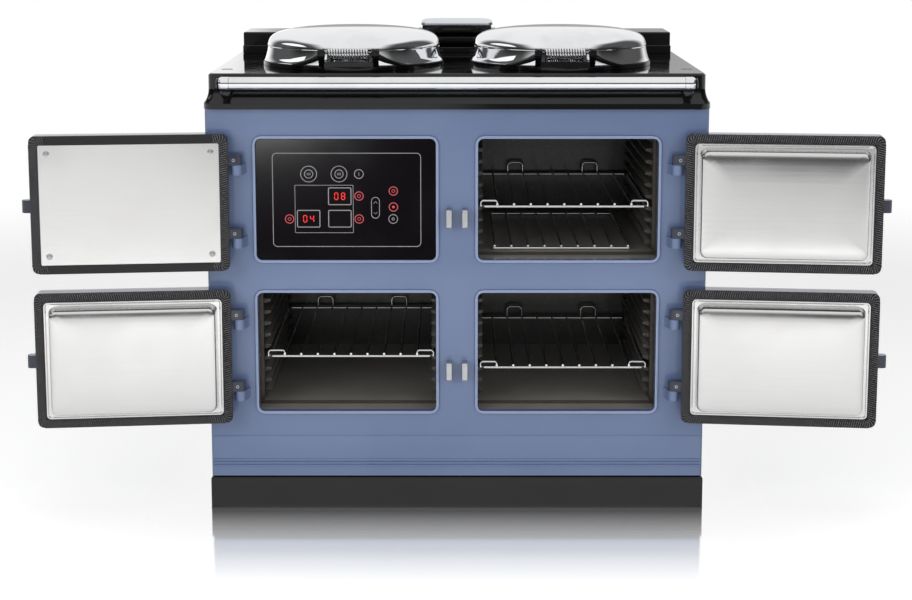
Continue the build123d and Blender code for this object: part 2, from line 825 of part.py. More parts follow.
def make_door_handle():
    """Two posts on the door's outside and a grip between them that swells to its middle."""
    field_edge = door_free_edge + door_panel_inset
    middle = field_edge + handle_inset + grip_length / 2
    foot = door_outside - door_panel_rise - seat_gap
    y = door_outside - handle_stand_off
    half = grip_length / 2
    rise = handle_post_radius
    pieces = []
    for end in (-1, 1):
        x = middle + end * (half - rise)
        stem = block(x - rise, x + rise, y - rise, foot, -rise, rise)
        pieces.append(chamfer(stem.edges().group_by(Axis.Y)[0], rise / 3))
    swell = flat_turning(handle_grip_sides, [(handle_grip_swell, 0), (handle_grip_radius, half)])
    grip = Rot(0, 90, 0) * (swell + mirror(swell, about=Plane.XY))
    return joined(Pos(middle, y, 0) * grip, *pieces)


# Lids, about their own middle on the plate
def make_lid_frame():
    """A cast base with the handle's bracket in front and the hinge barrel behind."""
    base = disc(lid_radius, lid_bottom, lid_base_top)
    foot = disc(grip_foot_radius, lid_bottom, lid_base_top, 0, grip_y + grip_foot_radius)
    frame = base + foot
    edge = -sqrt(skirt_foot_radius**2 - (grip_length / 2) ** 2) - seat_gap
    deep, tall, thick = grip_block_depth / 2, grip_block_height / 2, grip_leg_thickness
    leg_profile = [(edge, lid_base_top - 1), (edge, lid_base_top + 1), (grip_y + deep, grip_z - tall + thick),
                   (grip_y - deep + 1, grip_z - tall + 1), (edge - thick, lid_base_top - 1)]
    for side in (-1, 1):
        x0 = side * (grip_length + grip_block_width) / 2 - grip_block_width / 2
        x1 = x0 + grip_block_width
        head = block(x0, x1, grip_y - deep, grip_y + deep, grip_z - tall, grip_z + tall)
        head = chamfer(head.edges().filter_by(Axis.X), tall / 2)
        frame = joined(frame, head, along_x(leg_profile, x0 + 1, x1 - 1))
    half = grip_length / 2
    web = block(-half - 2, half + 2, grip_y + deep, grip_y + deep + grip_web_thickness, lid_base_top - 1,
                lid_base_top + grip_web_height)
    core = rod((-half - 1, grip_y, grip_z), (half + 1, grip_y, grip_z), grip_core_radius)
    y, z, r = lid_hinge_y, lid_hinge_z, lid_barrel_radius
    arm_profile = [(lid_radius - r, lid_bottom), (lid_radius + 2, lid_bottom), (y + r / 2, z - r),
                   (y + r, z - r / 2), (y + r, z + r / 2), (y + r / 2, z + r), (y - r / 2, z + r),
                   (lid_radius, lid_base_top), (lid_radius - r, lid_base_top)]
    arm = along_x(arm_profile, -lid_barrel_length / 2, lid_barrel_length / 2)
    bore = bar(lid_pin_radius + running_clearance, -lid_barrel_length, lid_barrel_length, y, z)
    return joined(frame, web, core, arm) - bore


def make_lid_cover():
    """A chrome skirt under a crowned dome, hollowed from below."""
    crown = [(radius, skirt_top + rise) for radius, rise in dome_profile]
    outside = [(skirt_foot_radius, skirt_foot), (skirt_top_radius, skirt_top), *crown]
    inside = [(radius - dome_wall, z - dome_wall) for radius, z in outside]
    return flat_turning(cover_sides, outside) - flat_turning(cover_sides // 2, inside)


def grip_point(turn):
    """A point on the winding's middle line, counted in turns from the left-hand end."""
    span = grip_length - 3 * grip_wire
    x = span * (turn / grip_turns - 0.5)
    end, middle = grip_end_radius - grip_wire / 2, grip_middle_radius - grip_wire / 2
    radius = end + (middle - end) * (1 - (2 * x / grip_length) ** 2)
    return Vector(x, radius * cos(2 * pi * turn), radius * sin(2 * pi * turn))


def make_lid_coil():
    """The wound grip: one wire whose turns swell to the middle, its ends straight along the axis."""
    turns = [grip_point(i / grip_steps) for i in range(grip_turns * grip_steps + 1)]
    reach = grip_length / 2 - seat_gap
    ends = []
    for point, side in ((turns[0], -1), (turns[-1], 1)):
        straight = [Vector(side * reach, point.Y, point.Z), Vector(side * (reach - grip_wire), point.Y, point.Z)]
        ends.append(straight)
    route = ends[0] + turns[1:-1] + ends[1][::-1]
    section = Plane(origin=route[0], z_dir=route[1] - route[0]) * RegularPolygon(grip_wire / 2, 4)
    coil = sweep(section, Wire(Polyline(*route).edges()), transition=Transition.RIGHT)
    return Pos(0, grip_y, grip_z) * coil


def least_coil_gap():
    """Least distance between neighbouring turns of the winding, from points along it."""
    steps = 48
    points = [grip_point(i / steps) for i in range(steps * grip_turns + 1)]
    nearest = min((points[i] - points[j]).length
                  for i in range(0, len(points), 4)
                  for j in range(i + steps // 2, min(i + 2 * steps, len(points))))
    return nearest - grip_wire


def make_lid_hinge_bracket():
    """A base on the plate, two posts and the pin that carries a lid."""
    half = lid_barrel_length / 2 + seat_gap
    outer = half + lid_post_width
    bottom = hob_height + seat_gap
    y, z, r = lid_hinge_y, lid_hinge_z, lid_barrel_radius
    rear = y + 2 * r + 1
    bracket = block(-outer, outer, y + r + 1, rear, bottom, bottom + lid_bracket_base)
    post_profile = [(y - r, bottom), (y - r, z + r / 2), (y - r / 2, z + r), (y + r / 2, z + r), (y + r, z + r / 2),
                    (rear, bottom + lid_bracket_base), (rear, bottom)]
    for x0 in (-outer, half):
        bracket += along_x(post_profile, x0, x0 + lid_post_width)
    return bracket + bar(lid_pin_radius, -half - 1, half + 1, y, z)


# Shelves
def shelf_height(middle, level):
    """Height of the bars' middle on a shelf that lies on the given runner."""
    return runner_tops(middle)[level] + shelf_bar_radius + seat_gap


def rod_places():
    return [shelf_rod_pitch * (i - (shelf_rods - 1) / 2) for i in range(shelf_rods)]


def make_shelf():
    """A wire shelf: a frame, rods on top, stops at the front corners and two loops at the rear."""
    edge, wire, depth = shelf_bar_radius, shelf_rod_radius, shelf_depth
    half, side = shelf_width / 2, shelf_width / 2 - edge
    top = edge + wire - shelf_weld
    places = rod_places()
    bars = [rod((-half, y, 0), (half, y, 0), edge) for y in (0, depth)]
    bars += [rod((x, 0, 0), (x, depth, 0), edge) for x in (-side, side)]
    rods = [rod((x, -edge, top), (x, depth + edge, top), wire) for x in places]
    for first in (1, shelf_rods - 3):
        x0, x1 = places[first], places[first + 1]
        rods.append(bent_wire([(x0, depth, 0), (x0, depth, shelf_loop_height), (x1, depth, shelf_loop_height),
                               (x1, depth, 0)], shelf_loop_corner, wire))
    for x0, x1 in ((-side, places[0]), (places[-1], side)):
        rods.append(bent_wire([(x0, 0, 0), (x0, 0, shelf_stop_height), (x1, 0, shelf_stop_height), (x1, 0, 0)],
                              wire, wire))
    return joined(*bars, *rods)


def make_floor_grid():
    """A low grid that lies on the oven's floor."""
    edge, wire = shelf_bar_radius, shelf_rod_radius
    places = rod_places()
    top = edge + wire - shelf_weld
    bars = [rod((places[0] - wire, y, 0), (places[-1] + wire, y, 0), edge) for y in (0, grid_depth)]
    rods = [rod((x, -edge, top), (x, grid_depth + edge, top), wire) for x in places]
    return joined(*bars, *rods)


# Supply
def make_terminal_box():
    """A steel cover on the rear panel with the gland for a supply cable."""
    front, rear = rear_face + seat_gap, rear_face + terminal_depth
    x, z, wall = terminal_offset, terminal_centre_height, terminal_wall
    half, tall = terminal_width / 2, terminal_height / 2
    box = block(x - half, x + half, front, rear, z - tall, z + tall)
    box = chamfer(box.edges().group_by(Axis.Y)[-1], wall)
    box -= block(x - half + wall, x + half - wall, front - 1, rear - wall, z - tall + wall, z + tall - wall)

    def along_y(outline, y0, y1):
        return slab(outline, x, z, y1, y1 - y0)

    tail = rear + gland_length - 2 * gland_nut_height
    box += along_y(RegularPolygon(gland_radius, 6), rear - 2 * gland_nut_height, tail)
    box += along_y(RegularPolygon(gland_nut_radius, 6), rear - 1, rear + gland_nut_height)
    return box - along_y(Circle(gland_bore), rear - 3 * gland_nut_height, tail + 1)


# Assembly
def build_nodes():
    """Every node's name with its solid, or its group of like solids."""
    nodes = {
        "plinth": make_plinth(),
        "levelling_feet": make_levelling_feet(),
        "base_frame": make_base_frame(),
        "front_plate": make_front_plate(),
        "door_catches": make_door_catches(),
        "side_panels": make_side_panels(),
        "rear_panel": make_rear_panel(),
        "top_plate": make_top_plate(),
        "handrail": make_handrail(),
        "handrail_brackets": make_handrail_brackets(),
        "rear_riser": make_rear_riser(),
        "vent_cowl": make_vent_cowl(),
        "vent_cap": make_vent_cap(),
        "hotplates": make_hotplates(),
        "heating_elements": make_heating_elements(),
        "insulation": make_insulation(),
        "control_glass": make_control_glass(),
        "control_housing": make_control_housing(),
        "control_board": make_control_board(),
        "terminal_box": make_terminal_box(),
    }
    bracket = make_lid_hinge_bracket()
    lid_pieces = {"frame": make_lid_frame(), "cover": make_lid_cover(), "handle_coil": make_lid_coil()}
    nodes["lid_hinge_brackets"] = []
    for name, side in (("left", -1), ("right", 1)):
        place = Pos(side * hotplate_offset, hotplate_y, 0)
        nodes["lid_hinge_brackets"].append(place * bracket)
        for piece, shape in lid_pieces.items():
            nodes[f"lid_{name}_{piece}"] = place * shape
    door_pieces = {"shell": make_door(), "seal": make_door_seal(), "handle": make_door_handle()}
    for name, side, middle in door_places():
        liner = make_control_door_liner() if name == "upper_left" else make_door_liner()
        for piece, shape in {**door_pieces, "liner": liner}.items():
            nodes[f"door_{name}_{piece}"] = placed(shape, side, middle)
    shelf, levels = make_shelf(), {"upper_right": 3, "lower_left": 3, "lower_right": 2}
    for name, side, middle in oven_places():
        nodes[f"oven_{name}"] = make_oven(side, middle)
        place = Pos(side * oven_offset, mouth_y + shelf_front_gap, shelf_height(middle, levels[name]))
        nodes[f"shelf_{name}"] = place * across(shelf, side)
    grid_z = cavity_floor(upper_opening_height) + shelf_bar_radius + seat_gap
    nodes["floor_grid"] = (Pos(oven_offset - grid_offset, mouth_y + grid_front_gap, grid_z)
                           * make_floor_grid())
    return nodes


def write(nodes):
    os.makedirs("parts", exist_ok=True)
    for name, shape in nodes.items():
        pieces = shape if isinstance(shape, list) else [shape]
        solids = [Solid(solid.wrapped) for piece in pieces for solid in piece.solids()]
        export_step(Compound(children=solids), f"parts/{name}.step")


write(build_nodes())
print(f"least gap between the turns of a lid's grip: {least_coil_gap():.2f} mm")
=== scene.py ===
"""The looks of a cast-iron range cooker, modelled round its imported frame."""

import json
import logging
from contextlib import contextmanager
from dataclasses import dataclass, field
from enum import Enum
from math import cos, pi, radians, sin, tau
from typing import Any, Callable, Iterator, Sequence

import bmesh
import bpy
from mathutils import Matrix, Vector

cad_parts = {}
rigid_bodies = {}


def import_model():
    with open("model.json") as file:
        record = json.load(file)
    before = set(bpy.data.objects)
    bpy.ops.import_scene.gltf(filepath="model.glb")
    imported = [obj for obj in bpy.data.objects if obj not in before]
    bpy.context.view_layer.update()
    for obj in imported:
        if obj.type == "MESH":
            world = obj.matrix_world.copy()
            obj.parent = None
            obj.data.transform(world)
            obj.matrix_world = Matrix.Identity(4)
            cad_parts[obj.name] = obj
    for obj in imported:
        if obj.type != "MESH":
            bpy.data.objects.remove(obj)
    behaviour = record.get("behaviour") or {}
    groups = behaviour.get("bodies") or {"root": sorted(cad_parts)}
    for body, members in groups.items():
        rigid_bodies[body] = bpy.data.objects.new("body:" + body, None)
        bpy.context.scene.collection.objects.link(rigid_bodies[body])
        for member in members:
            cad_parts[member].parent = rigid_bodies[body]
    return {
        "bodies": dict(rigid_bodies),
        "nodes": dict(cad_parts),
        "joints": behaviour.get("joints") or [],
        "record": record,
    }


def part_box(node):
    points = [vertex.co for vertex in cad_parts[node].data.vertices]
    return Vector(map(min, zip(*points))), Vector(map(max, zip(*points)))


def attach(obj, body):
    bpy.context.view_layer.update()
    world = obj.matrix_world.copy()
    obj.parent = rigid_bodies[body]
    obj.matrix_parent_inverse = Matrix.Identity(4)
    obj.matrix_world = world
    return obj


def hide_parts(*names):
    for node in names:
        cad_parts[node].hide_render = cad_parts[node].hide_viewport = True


LOG = logging.getLogger("range_cooker")
MM = 0.001
MERGE = 1e-6  # metres within which points are one
STRAIGHT = pi - 1e-3  # the angle in radians past which a corner is none
SQUARE_ON = 0.9  # the least part of its normal along an axis for a face that looks along it
CHANNEL_MAX = 255
INK_RISE = 0.15  # millimetres by which a printed mark stands up
Colour = tuple[float, float, float]
Point = tuple[float, float, float]
Span = tuple[float, float]
Profile = Sequence[Span]
Test = Callable[[Vector, Vector], bool]

WHITE: Colour = (1.0, 1.0, 1.0)

# Places that several pieces share, in millimetres and degrees
HOTPLATE_X, HOTPLATE_Y = 212.0, -86.0
OPENING_X = 217.5
UPPER, LOWER = 627.5, 321.5
TRIM_EDGE = -325.5
OVEN_MOUTH = -262.0
HINGE_X, HINGE_Y = 427.5, -345.0
OPEN_ANGLE = 174.0

# Turns of the drawing plane
FACING_FRONT = Matrix(((1, 0, 0, 0), (0, 0, -1, 0), (0, 1, 0, 0), (0, 0, 0, 1)))
FACING_REAR = Matrix(((-1, 0, 0, 0), (0, 0, 1, 0), (0, 1, 0, 0), (0, 0, 0, 1)))
HALF_TURN = Matrix.Rotation(pi, 4, "Z")
ALONG_X = Matrix(((0, 0, 1, 0), (0, 1, 0, 0), (-1, 0, 0, 0), (0, 0, 0, 1)))


def chart(red: int, green: int, blue: int) -> Colour:
    """Turns the numbers of a paint chart into a linear colour, by the sRGB curve.

    Args:
        red: The red number, 0 to 255.
        green: The green number.
        blue: The blue number.

    Returns:
        The linear colour.
    """

    def channel(number: int) -> float:
        """One channel's linear value."""
        share = number / CHANNEL_MAX
        return share / 12.92 if share <= 0.04045 else ((share + 0.055) / 1.055) ** 2.4

    return channel(red), channel(green), channel(blue)


def at(x: float, y: float, z: float) -> Matrix:
    """A shift by millimetres."""
    return Matrix.Translation(Vector((x, y, z)) * MM)


# Shader nodes
class Value:
    """A node's output; Python's operators on it add Math nodes."""

    def __init__(self, tree: "Tree", socket: bpy.types.NodeSocket) -> None:
        """Keeps the socket with the tree that it is in."""
        self.tree = tree
        self.socket = socket

    def join(self, operation: str, other: Any = None, swapped: bool = False) -> "Value":
        """Joins this value to another by one Math node.

        Args:
            operation: The Math node's operation.
            other: The second value or number, if the operation takes one.
            swapped: Whether the other comes first.

        Returns:
            The result.
        """
        first, second = (other, self) if swapped else (self, other)
        return self.tree.node("ShaderNodeMath", {"operation": operation}, {0: first, 1: second})

    def __add__(self, other: Any) -> "Value":
        """Sum."""
        return self.join("ADD", other)

    def __radd__(self, other: Any) -> "Value":
        """Sum, reflected."""
        return self.join("ADD", other, True)

    def __sub__(self, other: Any) -> "Value":
        """Difference."""
        return self.join("SUBTRACT", other)

    def __rsub__(self, other: Any) -> "Value":
        """Difference, reflected."""
        return self.join("SUBTRACT", other, True)

    def __mul__(self, other: Any) -> "Value":
        """Product."""
        return self.join("MULTIPLY", other)

    def __rmul__(self, other: Any) -> "Value":
        """Product, reflected."""
        return self.join("MULTIPLY", other, True)

    def __pow__(self, other: Any) -> "Value":
        """Power."""
        return self.join("POWER", other)

    def sine(self) -> "Value":
        """Sine of an angle in radians."""
        return self.join("SINE")

    def size(self) -> "Value":
        """The value without its sign."""
        return self.join("ABSOLUTE")

    def above(self, edge: float) -> "Value":
        """1 where the value is over the edge, else 0."""
        return self.join("GREATER_THAN", edge)

    def ease(self, low: float, high: float) -> "Value":
        """Rises smoothly from 0 at low to 1 at high."""
        return self.tree.node("ShaderNodeMapRange", {"interpolation_type": "SMOOTHSTEP"},
                              {0: self, 1: low, 2: high})


class Tree:
    """A node tree, written as expressions."""

    def __init__(self, tree: bpy.types.NodeTree) -> None:
        """Empties the tree."""
        self.tree = tree
        tree.nodes.clear()

    def node(self, kind: str, settings: dict[str, Any] | None = None,
             sockets: dict[Any, Any] | None = None, output: Any = 0) -> Value | None:
        """Adds one node.

        Args:
            kind: The node's type.
            settings: Its settings, which are set first.
            sockets: What its sockets hold or are linked to, by name or number.
            output: Which of its outputs is wanted.

        Returns:
            That output, or nothing from a node that has none.
        """
        made = self.tree.nodes.new(kind)
        for name, setting in (settings or {}).items():
            setattr(made, name, setting)
        for name, held in (sockets or {}).items():
            if isinstance(held, Value):
                self.tree.links.new(held.socket, made.inputs[name])
            elif held is not None:
                wide = made.inputs[name].type == "RGBA" and len(held) == 3
                made.inputs[name].default_value = (*held, 1.0) if wide else held
        return Value(self, made.outputs[output]) if made.outputs else None

    def place(self, shift: Point = (0, 0, 0), scale: Point = (1, 1, 1)) -> Value:
        """The point on the object, for a pattern to follow.

        Args:
            shift: Where the pattern's middle is, in millimetres.
            scale: The pattern's stretch along each axis.

        Returns:
            The point.
        """
        point = self.node("ShaderNodeTexCoord", output="Object")
        shifted = [-part * MM * by for part, by in zip(shift, scale)]
        return self.node("ShaderNodeMapping", {}, {"Vector": point, "Location": shifted, "Scale": scale})

    def parts(self, vector: Value) -> tuple[Value, Value, Value]:
        """A vector's three parts."""
        split = self.node("ShaderNodeSeparateXYZ", {}, {0: vector}).socket.node
        return tuple(Value(self, split.outputs[i]) for i in range(3))

    def noise(self, place: Value, scale: float, detail: float = 2.0, rough: float = 0.5) -> Value:
        """Soft noise between 0 and 1."""
        return self.node("ShaderNodeTexNoise", {},
                         {"Vector": place, "Scale": scale, "Detail": detail, "Roughness": rough})

    def blend(self, amount: Any, first: Any, second: Any) -> Value:
        """A colour between two."""
        return self.node("ShaderNodeMix", {"data_type": "RGBA"}, {0: amount, 6: first, 7: second}, 2)

    def rays(self) -> tuple[Value, Value]:
        """Tells the camera's own rays from the rest.

        Returns:
            1 for what the camera sees itself, and 1 for that and what it sees in gloss or glass.
        """
        ray = self.node("ShaderNodeLightPath").socket.node
        seen, gloss, through = (Value(self, ray.outputs[f"Is {kind} Ray"])
                                for kind in ("Camera", "Glossy", "Transmission"))
        return seen, (seen + gloss + through).above(0.5)

    def relief(self, height: Value, depth: float, strength: float = 1.0) -> Value:
        """A normal that follows a height.

        Args:
            height: The height, 0 to 1.
            depth: What 1 stands for, in millimetres.
            strength: The share of the effect.

        Returns:
            The normal.
        """
        return self.node("ShaderNodeBump", {},
                         {"Strength": strength, "Distance": depth * MM, "Height": height})


# Finishes
@dataclass(frozen=True)
class Finish:
    """A surface's finish, made once and shared."""

    name: str

    def surface(self, tree: Tree) -> dict[str, Any]:
        """What the surface shader's sockets hold, by their names."""
        raise NotImplementedError

    def shade(self, tree: Tree) -> None:
        """Adds the surface's shader to the material's tree."""
        shader = tree.node("ShaderNodeBsdfPrincipled", {}, self.surface(tree))
        tree.node("ShaderNodeOutputMaterial", {}, {"Surface": shader})

    def material(self) -> bpy.types.Material:
        """Makes the material at its first use.

        Returns:
            The material.
        """
        found = bpy.data.materials.get(self.name)
        if found:
            return found
        made = bpy.data.materials.new(self.name)
        made.use_nodes = True
        self.shade(Tree(made.node_tree))
        return made


@dataclass(frozen=True)
class Enamel(Finish):
    """Vitreous enamel fired on iron: a deep gloss with a faint ripple."""

    colour: Colour = (0.2, 0.2, 0.2)
    cloud: Colour = (0.2, 0.2, 0.2)
    gloss: float = 0.1
    ripple: float = 0.05
    coat: float = 0.5
    shine: float = 0.35

    def tint(self, tree: Tree, amount: Value) -> Value:
        """The colour, by the amount of cloud."""
        return tree.blend(amount, self.colour, self.cloud)

    def surface(self, tree: Tree) -> dict[str, Any]:
        """Colour clouds, a ripple and fine grains under a clear coat.

        Args:
            tree: The material's node tree.

        Returns:
            What the surface shader's sockets hold.
        """
        place = tree.place()
        drift = tree.noise(place, 5.0, 3.0)
        grain = tree.noise(place, 1400.0, 1.0)
        ripple = tree.noise(place, 75.0, 2.0) + 0.25 * tree.noise(place, 420.0, 1.0)
        return {
            "Base Color": self.tint(tree, (drift * 0.75 + grain * 0.25).ease(0.3, 0.7)),
            "Roughness": self.gloss + 0.1 * tree.noise(place, 14.0, 4.0),
            "Coat Weight": self.coat,
            "Coat Roughness": 0.03,
            "Specular IOR Level": self.shine,
            "Normal": tree.relief(ripple, self.ripple, 0.5),
        }


@dataclass(frozen=True)
class DoorEnamel(Enamel):
    """A door's enamel: the colour outside, the dark ground coat on the side that faces the oven, which on the
    rim and hinge lugs is partly painted shade.
    """

    ground_coat_and_shade: Colour = (0.04, 0.05, 0.1)
    hinge: tuple[float, float] = (HINGE_X, HINGE_Y)
    swing: float = OPEN_ANGLE
    rim: tuple[float, float] = (-12.0, -7.0)

    def tint(self, tree: Tree, amount: Value) -> Value:
        """The colour outside and half round the rim, and the ground coat from there on, partly painted shade
        on the rim and lugs.

        Args:
            tree: The material's node tree.
            amount: The amount of cloud.

        Returns:
            The colour.
        """
        x, y, _ = tree.parts(tree.place())
        turn = radians(self.swing)
        depth = (x.size() - self.hinge[0] * MM) * -sin(turn) + (y - self.hinge[1] * MM) * cos(turn)
        outer, inner = (edge * MM for edge in self.rim)
        # the real ground coat, also standing in for painted shade on the inner half of the rim and the hinge
        # lugs
        return tree.blend(depth.ease(outer, inner), super().tint(tree, amount), self.ground_coat_and_shade)


@dataclass(frozen=True)
class TrimEnamel(Enamel):
    """The front plate's enamel, with a painted highlight: a pale band over the rolls of the opening trims."""

    # the colour of the painted highlight on the trims' rolls
    painted_highlight: Colour = (0.3, 0.38, 0.55)
    roll: float = TRIM_EDGE
    reach: float = 0.6
    most: float = 0.75

    def tint(self, tree: Tree, amount: Value) -> Value:
        """The colour, with a painted highlight at the rolls' depth.

        Args:
            tree: The material's node tree.
            amount: The amount of cloud.

        Returns:
            The colour.
        """
        _, y, _ = tree.parts(tree.place())
        off = (y - self.roll * MM).size()
        # painted highlight: the colour turns pale at the depth of the trims' rolls
        pale = self.most * (1.0 - off.ease(0.5 * self.reach * MM, self.reach * MM))
        return tree.blend(pale, super().tint(tree, amount), self.painted_highlight)


@dataclass(frozen=True)
class OvenEnamel(Finish):
    """Oven enamel: brown-black, speckled, lighter and warmer toward the mouth, with a painted sheen where it
    faces up.
    """

    mouth: float = OVEN_MOUTH
    mouth_reach: float = 320.0

    def surface(self, tree: Tree) -> dict[str, Any]:
        """Pale specks over brown-black, lighter and warmer toward the mouth, and a painted grey sheen where
        it faces up.

        Args:
            tree: The material's node tree.

        Returns:
            What the surface shader's sockets hold.
        """
        place = tree.place()
        _, depth, _ = tree.parts(place)
        stain = tree.noise(place, 11.0, 5.0, 0.6)
        specks = tree.noise(place, 620.0, 2.0).ease(0.66, 0.74)
        near = 1.0 - (depth + 0.25 * stain).ease(self.mouth * MM, (self.mouth + self.mouth_reach) * MM)
        dark = tree.blend(stain.ease(0.35, 0.7), chart(13, 12, 10), chart(32, 29, 26))
        warm = tree.blend(near, dark, chart(52, 45, 38))
        # painted sheen: faces that look up are made pale grey
        _, _, facing = tree.parts(tree.node("ShaderNodeTexCoord", output="Normal"))
        painted_top_sheen = tree.blend(facing.ease(0.75, 0.95) * (0.6 + 0.5 * stain), warm, chart(148, 145, 139))
        return {
            "Base Color": tree.blend(specks * 0.5, painted_top_sheen, chart(150, 145, 138)),
            "Roughness": 0.2 + 0.25 * stain,
            "Coat Weight": 0.35,
            "Coat Roughness": 0.12,
            "Normal": tree.relief(tree.noise(place, 160.0, 3.0), 0.12, 0.5),
        }


@dataclass(frozen=True)
class Polished(Finish):
    """Bright plated steel with wipe marks."""

    colour: Colour = (0.84, 0.85, 0.87)
    roughness: float = 0.03
    wipes: float = 0.07

    def surface(self, tree: Tree) -> dict[str, Any]:
        """Smears in the gloss and hair scratches.

        Args:
            tree: The material's node tree.

        Returns:
            What the surface shader's sockets hold.
        """
        place = tree.place()
        smear = tree.noise(place, 9.0, 4.0, 0.6).ease(0.45, 0.75)
        hairs = tree.noise(tree.place(scale=(1.0, 12.0, 1.0)), 90.0, 4.0, 0.7)
        return {
            "Base Color": tree.blend(smear * 0.35, self.colour, chart(205, 206, 208)),
            "Metallic": 1.0,
            "Roughness": self.roughness + self.wipes * smear,
            "Normal": tree.relief(hairs, 0.01, 0.3),
        }


@dataclass(frozen=True)
class Brushed(Finish):
    """Steel with fine lines from a belt, along one direction."""

    colour: Colour = (0.72, 0.72, 0.73)
    roughness: float = 0.24
    grain: Point = (3.0, 3.0, 700.0)
    buckle: float = 0.0
    scratch: float = 0.03

    def surface(self, tree: Tree) -> dict[str, Any]:
        """Lines in the gloss and colour, and the sheet's slight buckles.

        Args:
            tree: The material's node tree.

        Returns:
            What the surface shader's sockets hold.
        """
        place = tree.place()
        lines = tree.noise(tree.place(scale=self.grain), 1.0, 4.0, 0.75)
        smear = tree.noise(place, 6.0, 3.0).ease(0.4, 0.7)
        waves = tree.noise(place, 4.0, 1.0)
        height = lines * self.scratch + waves * self.buckle
        return {
            "Base Color": tree.blend(lines, tuple(0.86 * part for part in self.colour), self.colour),
            "Metallic": 1.0,
            "Roughness": self.roughness + 0.1 * lines + 0.06 * smear,
            "Normal": tree.relief(height, 0.4, 0.6),
        }


@dataclass(frozen=True)
class GroundIron(Finish):
    """Machined cast iron, with turning marks round a centre."""

    centre: Point = (0.0, 0.0, 0.0)
    pitch: float = 1.1

    def surface(self, tree: Tree) -> dict[str, Any]:
        """Rings of turning marks, pores and burnt-on oil.

        Args:
            tree: The material's node tree.

        Returns:
            What the surface shader's sockets hold.
        """
        place = tree.place(self.centre)
        x, y, _ = tree.parts(place)
        reach = (x * x + y * y) ** 0.5
        rings = (reach * (tau / (self.pitch * MM))).sine() * 0.5 + 0.5
        oil = tree.noise(place, 16.0, 5.0, 0.6)
        pores = tree.noise(place, 900.0, 2.0).ease(0.62, 0.7)
        tint = tree.blend(oil.ease(0.35, 0.7), chart(96, 96, 98), chart(58, 55, 53))
        return {
            "Base Color": tree.blend(pores * 0.6, tint, chart(26, 25, 25)),
            "Metallic": 0.85,
            "Roughness": 0.3 + 0.2 * oil + 0.08 * rings,
            "Normal": tree.relief(rings * 0.6 + pores * -0.4, 0.03, 0.5),
        }


@dataclass(frozen=True)
class Galvanised(Finish):
    """Zinc-coated sheet with its spangle."""

    spangle: float = 110.0

    def surface(self, tree: Tree) -> dict[str, Any]:
        """Crystals that differ a little in tone and gloss.

        Args:
            tree: The material's node tree.

        Returns:
            What the surface shader's sockets hold.
        """
        place = tree.place()
        crystal = tree.node("ShaderNodeTexVoronoi", {}, {"Vector": place, "Scale": self.spangle}, 1)
        tone, _, _ = tree.parts(crystal)
        dust = tree.noise(place, 20.0, 4.0)
        return {
            "Base Color": tree.blend(tone, chart(160, 163, 166), chart(176, 179, 182)),
            "Metallic": 0.9,
            "Roughness": 0.34 + 0.14 * tone + 0.1 * dust,
            "Normal": tree.relief(tree.noise(place, 300.0, 2.0), 0.03, 0.4),
        }


@dataclass(frozen=True)
class WovenRope(Finish):
    """Glass-fibre rope: dark strands with pale crossing threads."""

    threads: float = 0.8

    def surface(self, tree: Tree) -> dict[str, Any]:
        """Threads along each strand, from the rope's own map and strand heights.

        Args:
            tree: The material's node tree.

        Returns:
            What the surface shader's sockets hold.
        """
        track = tree.node("ShaderNodeUVMap", {"uv_map": "rope"})
        along, around, _ = tree.parts(track)
        strand = tree.node("ShaderNodeAttribute", {"attribute_name": "strand"}, output="Fac")
        fine = (along * (tau / (self.threads * MM)) + around * 30.0).sine() * 0.5 + 0.5
        fluff = tree.noise(tree.place(), 900.0, 2.0)
        pale = (strand * 0.8 + fine * 0.2).ease(0.6, 0.93) * fluff.ease(0.35, 0.62)
        return {
            "Base Color": tree.blend(pale, chart(8, 8, 10), chart(158, 156, 160)),
            "Roughness": 0.75 + 0.2 * fluff,
            "Normal": tree.relief(fine + fluff * 0.5, 0.15, 0.6),
        }


@dataclass(frozen=True)
class BlackGlass(Finish):
    """Black printed glass."""

    colour: Colour = (0.0014, 0.0008, 0.0016)

    def surface(self, tree: Tree) -> dict[str, Any]:
        """A deep black with faint wipe marks in its gloss.

        Args:
            tree: The material's node tree.

        Returns:
            What the surface shader's sockets hold.
        """
        place = tree.place()
        wipe = tree.noise(place, 7.0, 3.0).ease(0.5, 0.8)
        return {
            "Base Color": tree.blend(wipe, self.colour, chart(9, 7, 10)),
            "Roughness": 0.13 + 0.04 * wipe,
            "Specular IOR Level": 0.04,
            "Normal": tree.relief(tree.noise(place, 3.0, 1.0), 0.1, 0.15),
        }


@dataclass(frozen=True)
class Print(Finish):
    """Printed or lit marks on the glass."""

    colour: Colour = (0.4, 0.4, 0.4)
    glow: float = 0.0

    def surface(self, tree: Tree) -> dict[str, Any]:
        """Ink, with the screen's dots where it is lit.

        Args:
            tree: The material's node tree.

        Returns:
            What the surface shader's sockets hold.
        """
        place = tree.place()
        dots = tree.noise(place, 2600.0, 1.0)
        ink = tree.blend(dots, tuple(0.8 * part for part in self.colour), self.colour)
        return {
            "Base Color": ink,
            "Roughness": 0.35 + 0.1 * dots,
            "Emission Color": ink,
            "Emission Strength": self.glow,
        }


@dataclass(frozen=True)
class Matt(Finish):
    """A dull material, such as packing, laminate or rubber."""

    colour: Colour = (0.5, 0.5, 0.5)
    second: Colour = (0.4, 0.4, 0.4)
    grain: float = 300.0
    roughness: float = 0.7
    depth: float = 0.3

    def surface(self, tree: Tree) -> dict[str, Any]:
        """Two tones in a grain.

        Args:
            tree: The material's node tree.

        Returns:
            What the surface shader's sockets hold.
        """
        grain = tree.noise(tree.place(), self.grain, 4.0, 0.65)
        return {
            "Base Color": tree.blend(grain.ease(0.3, 0.7), self.colour, self.second),
            "Roughness": self.roughness + 0.15 * grain,
            "Normal": tree.relief(grain, self.depth, 0.5),
        }


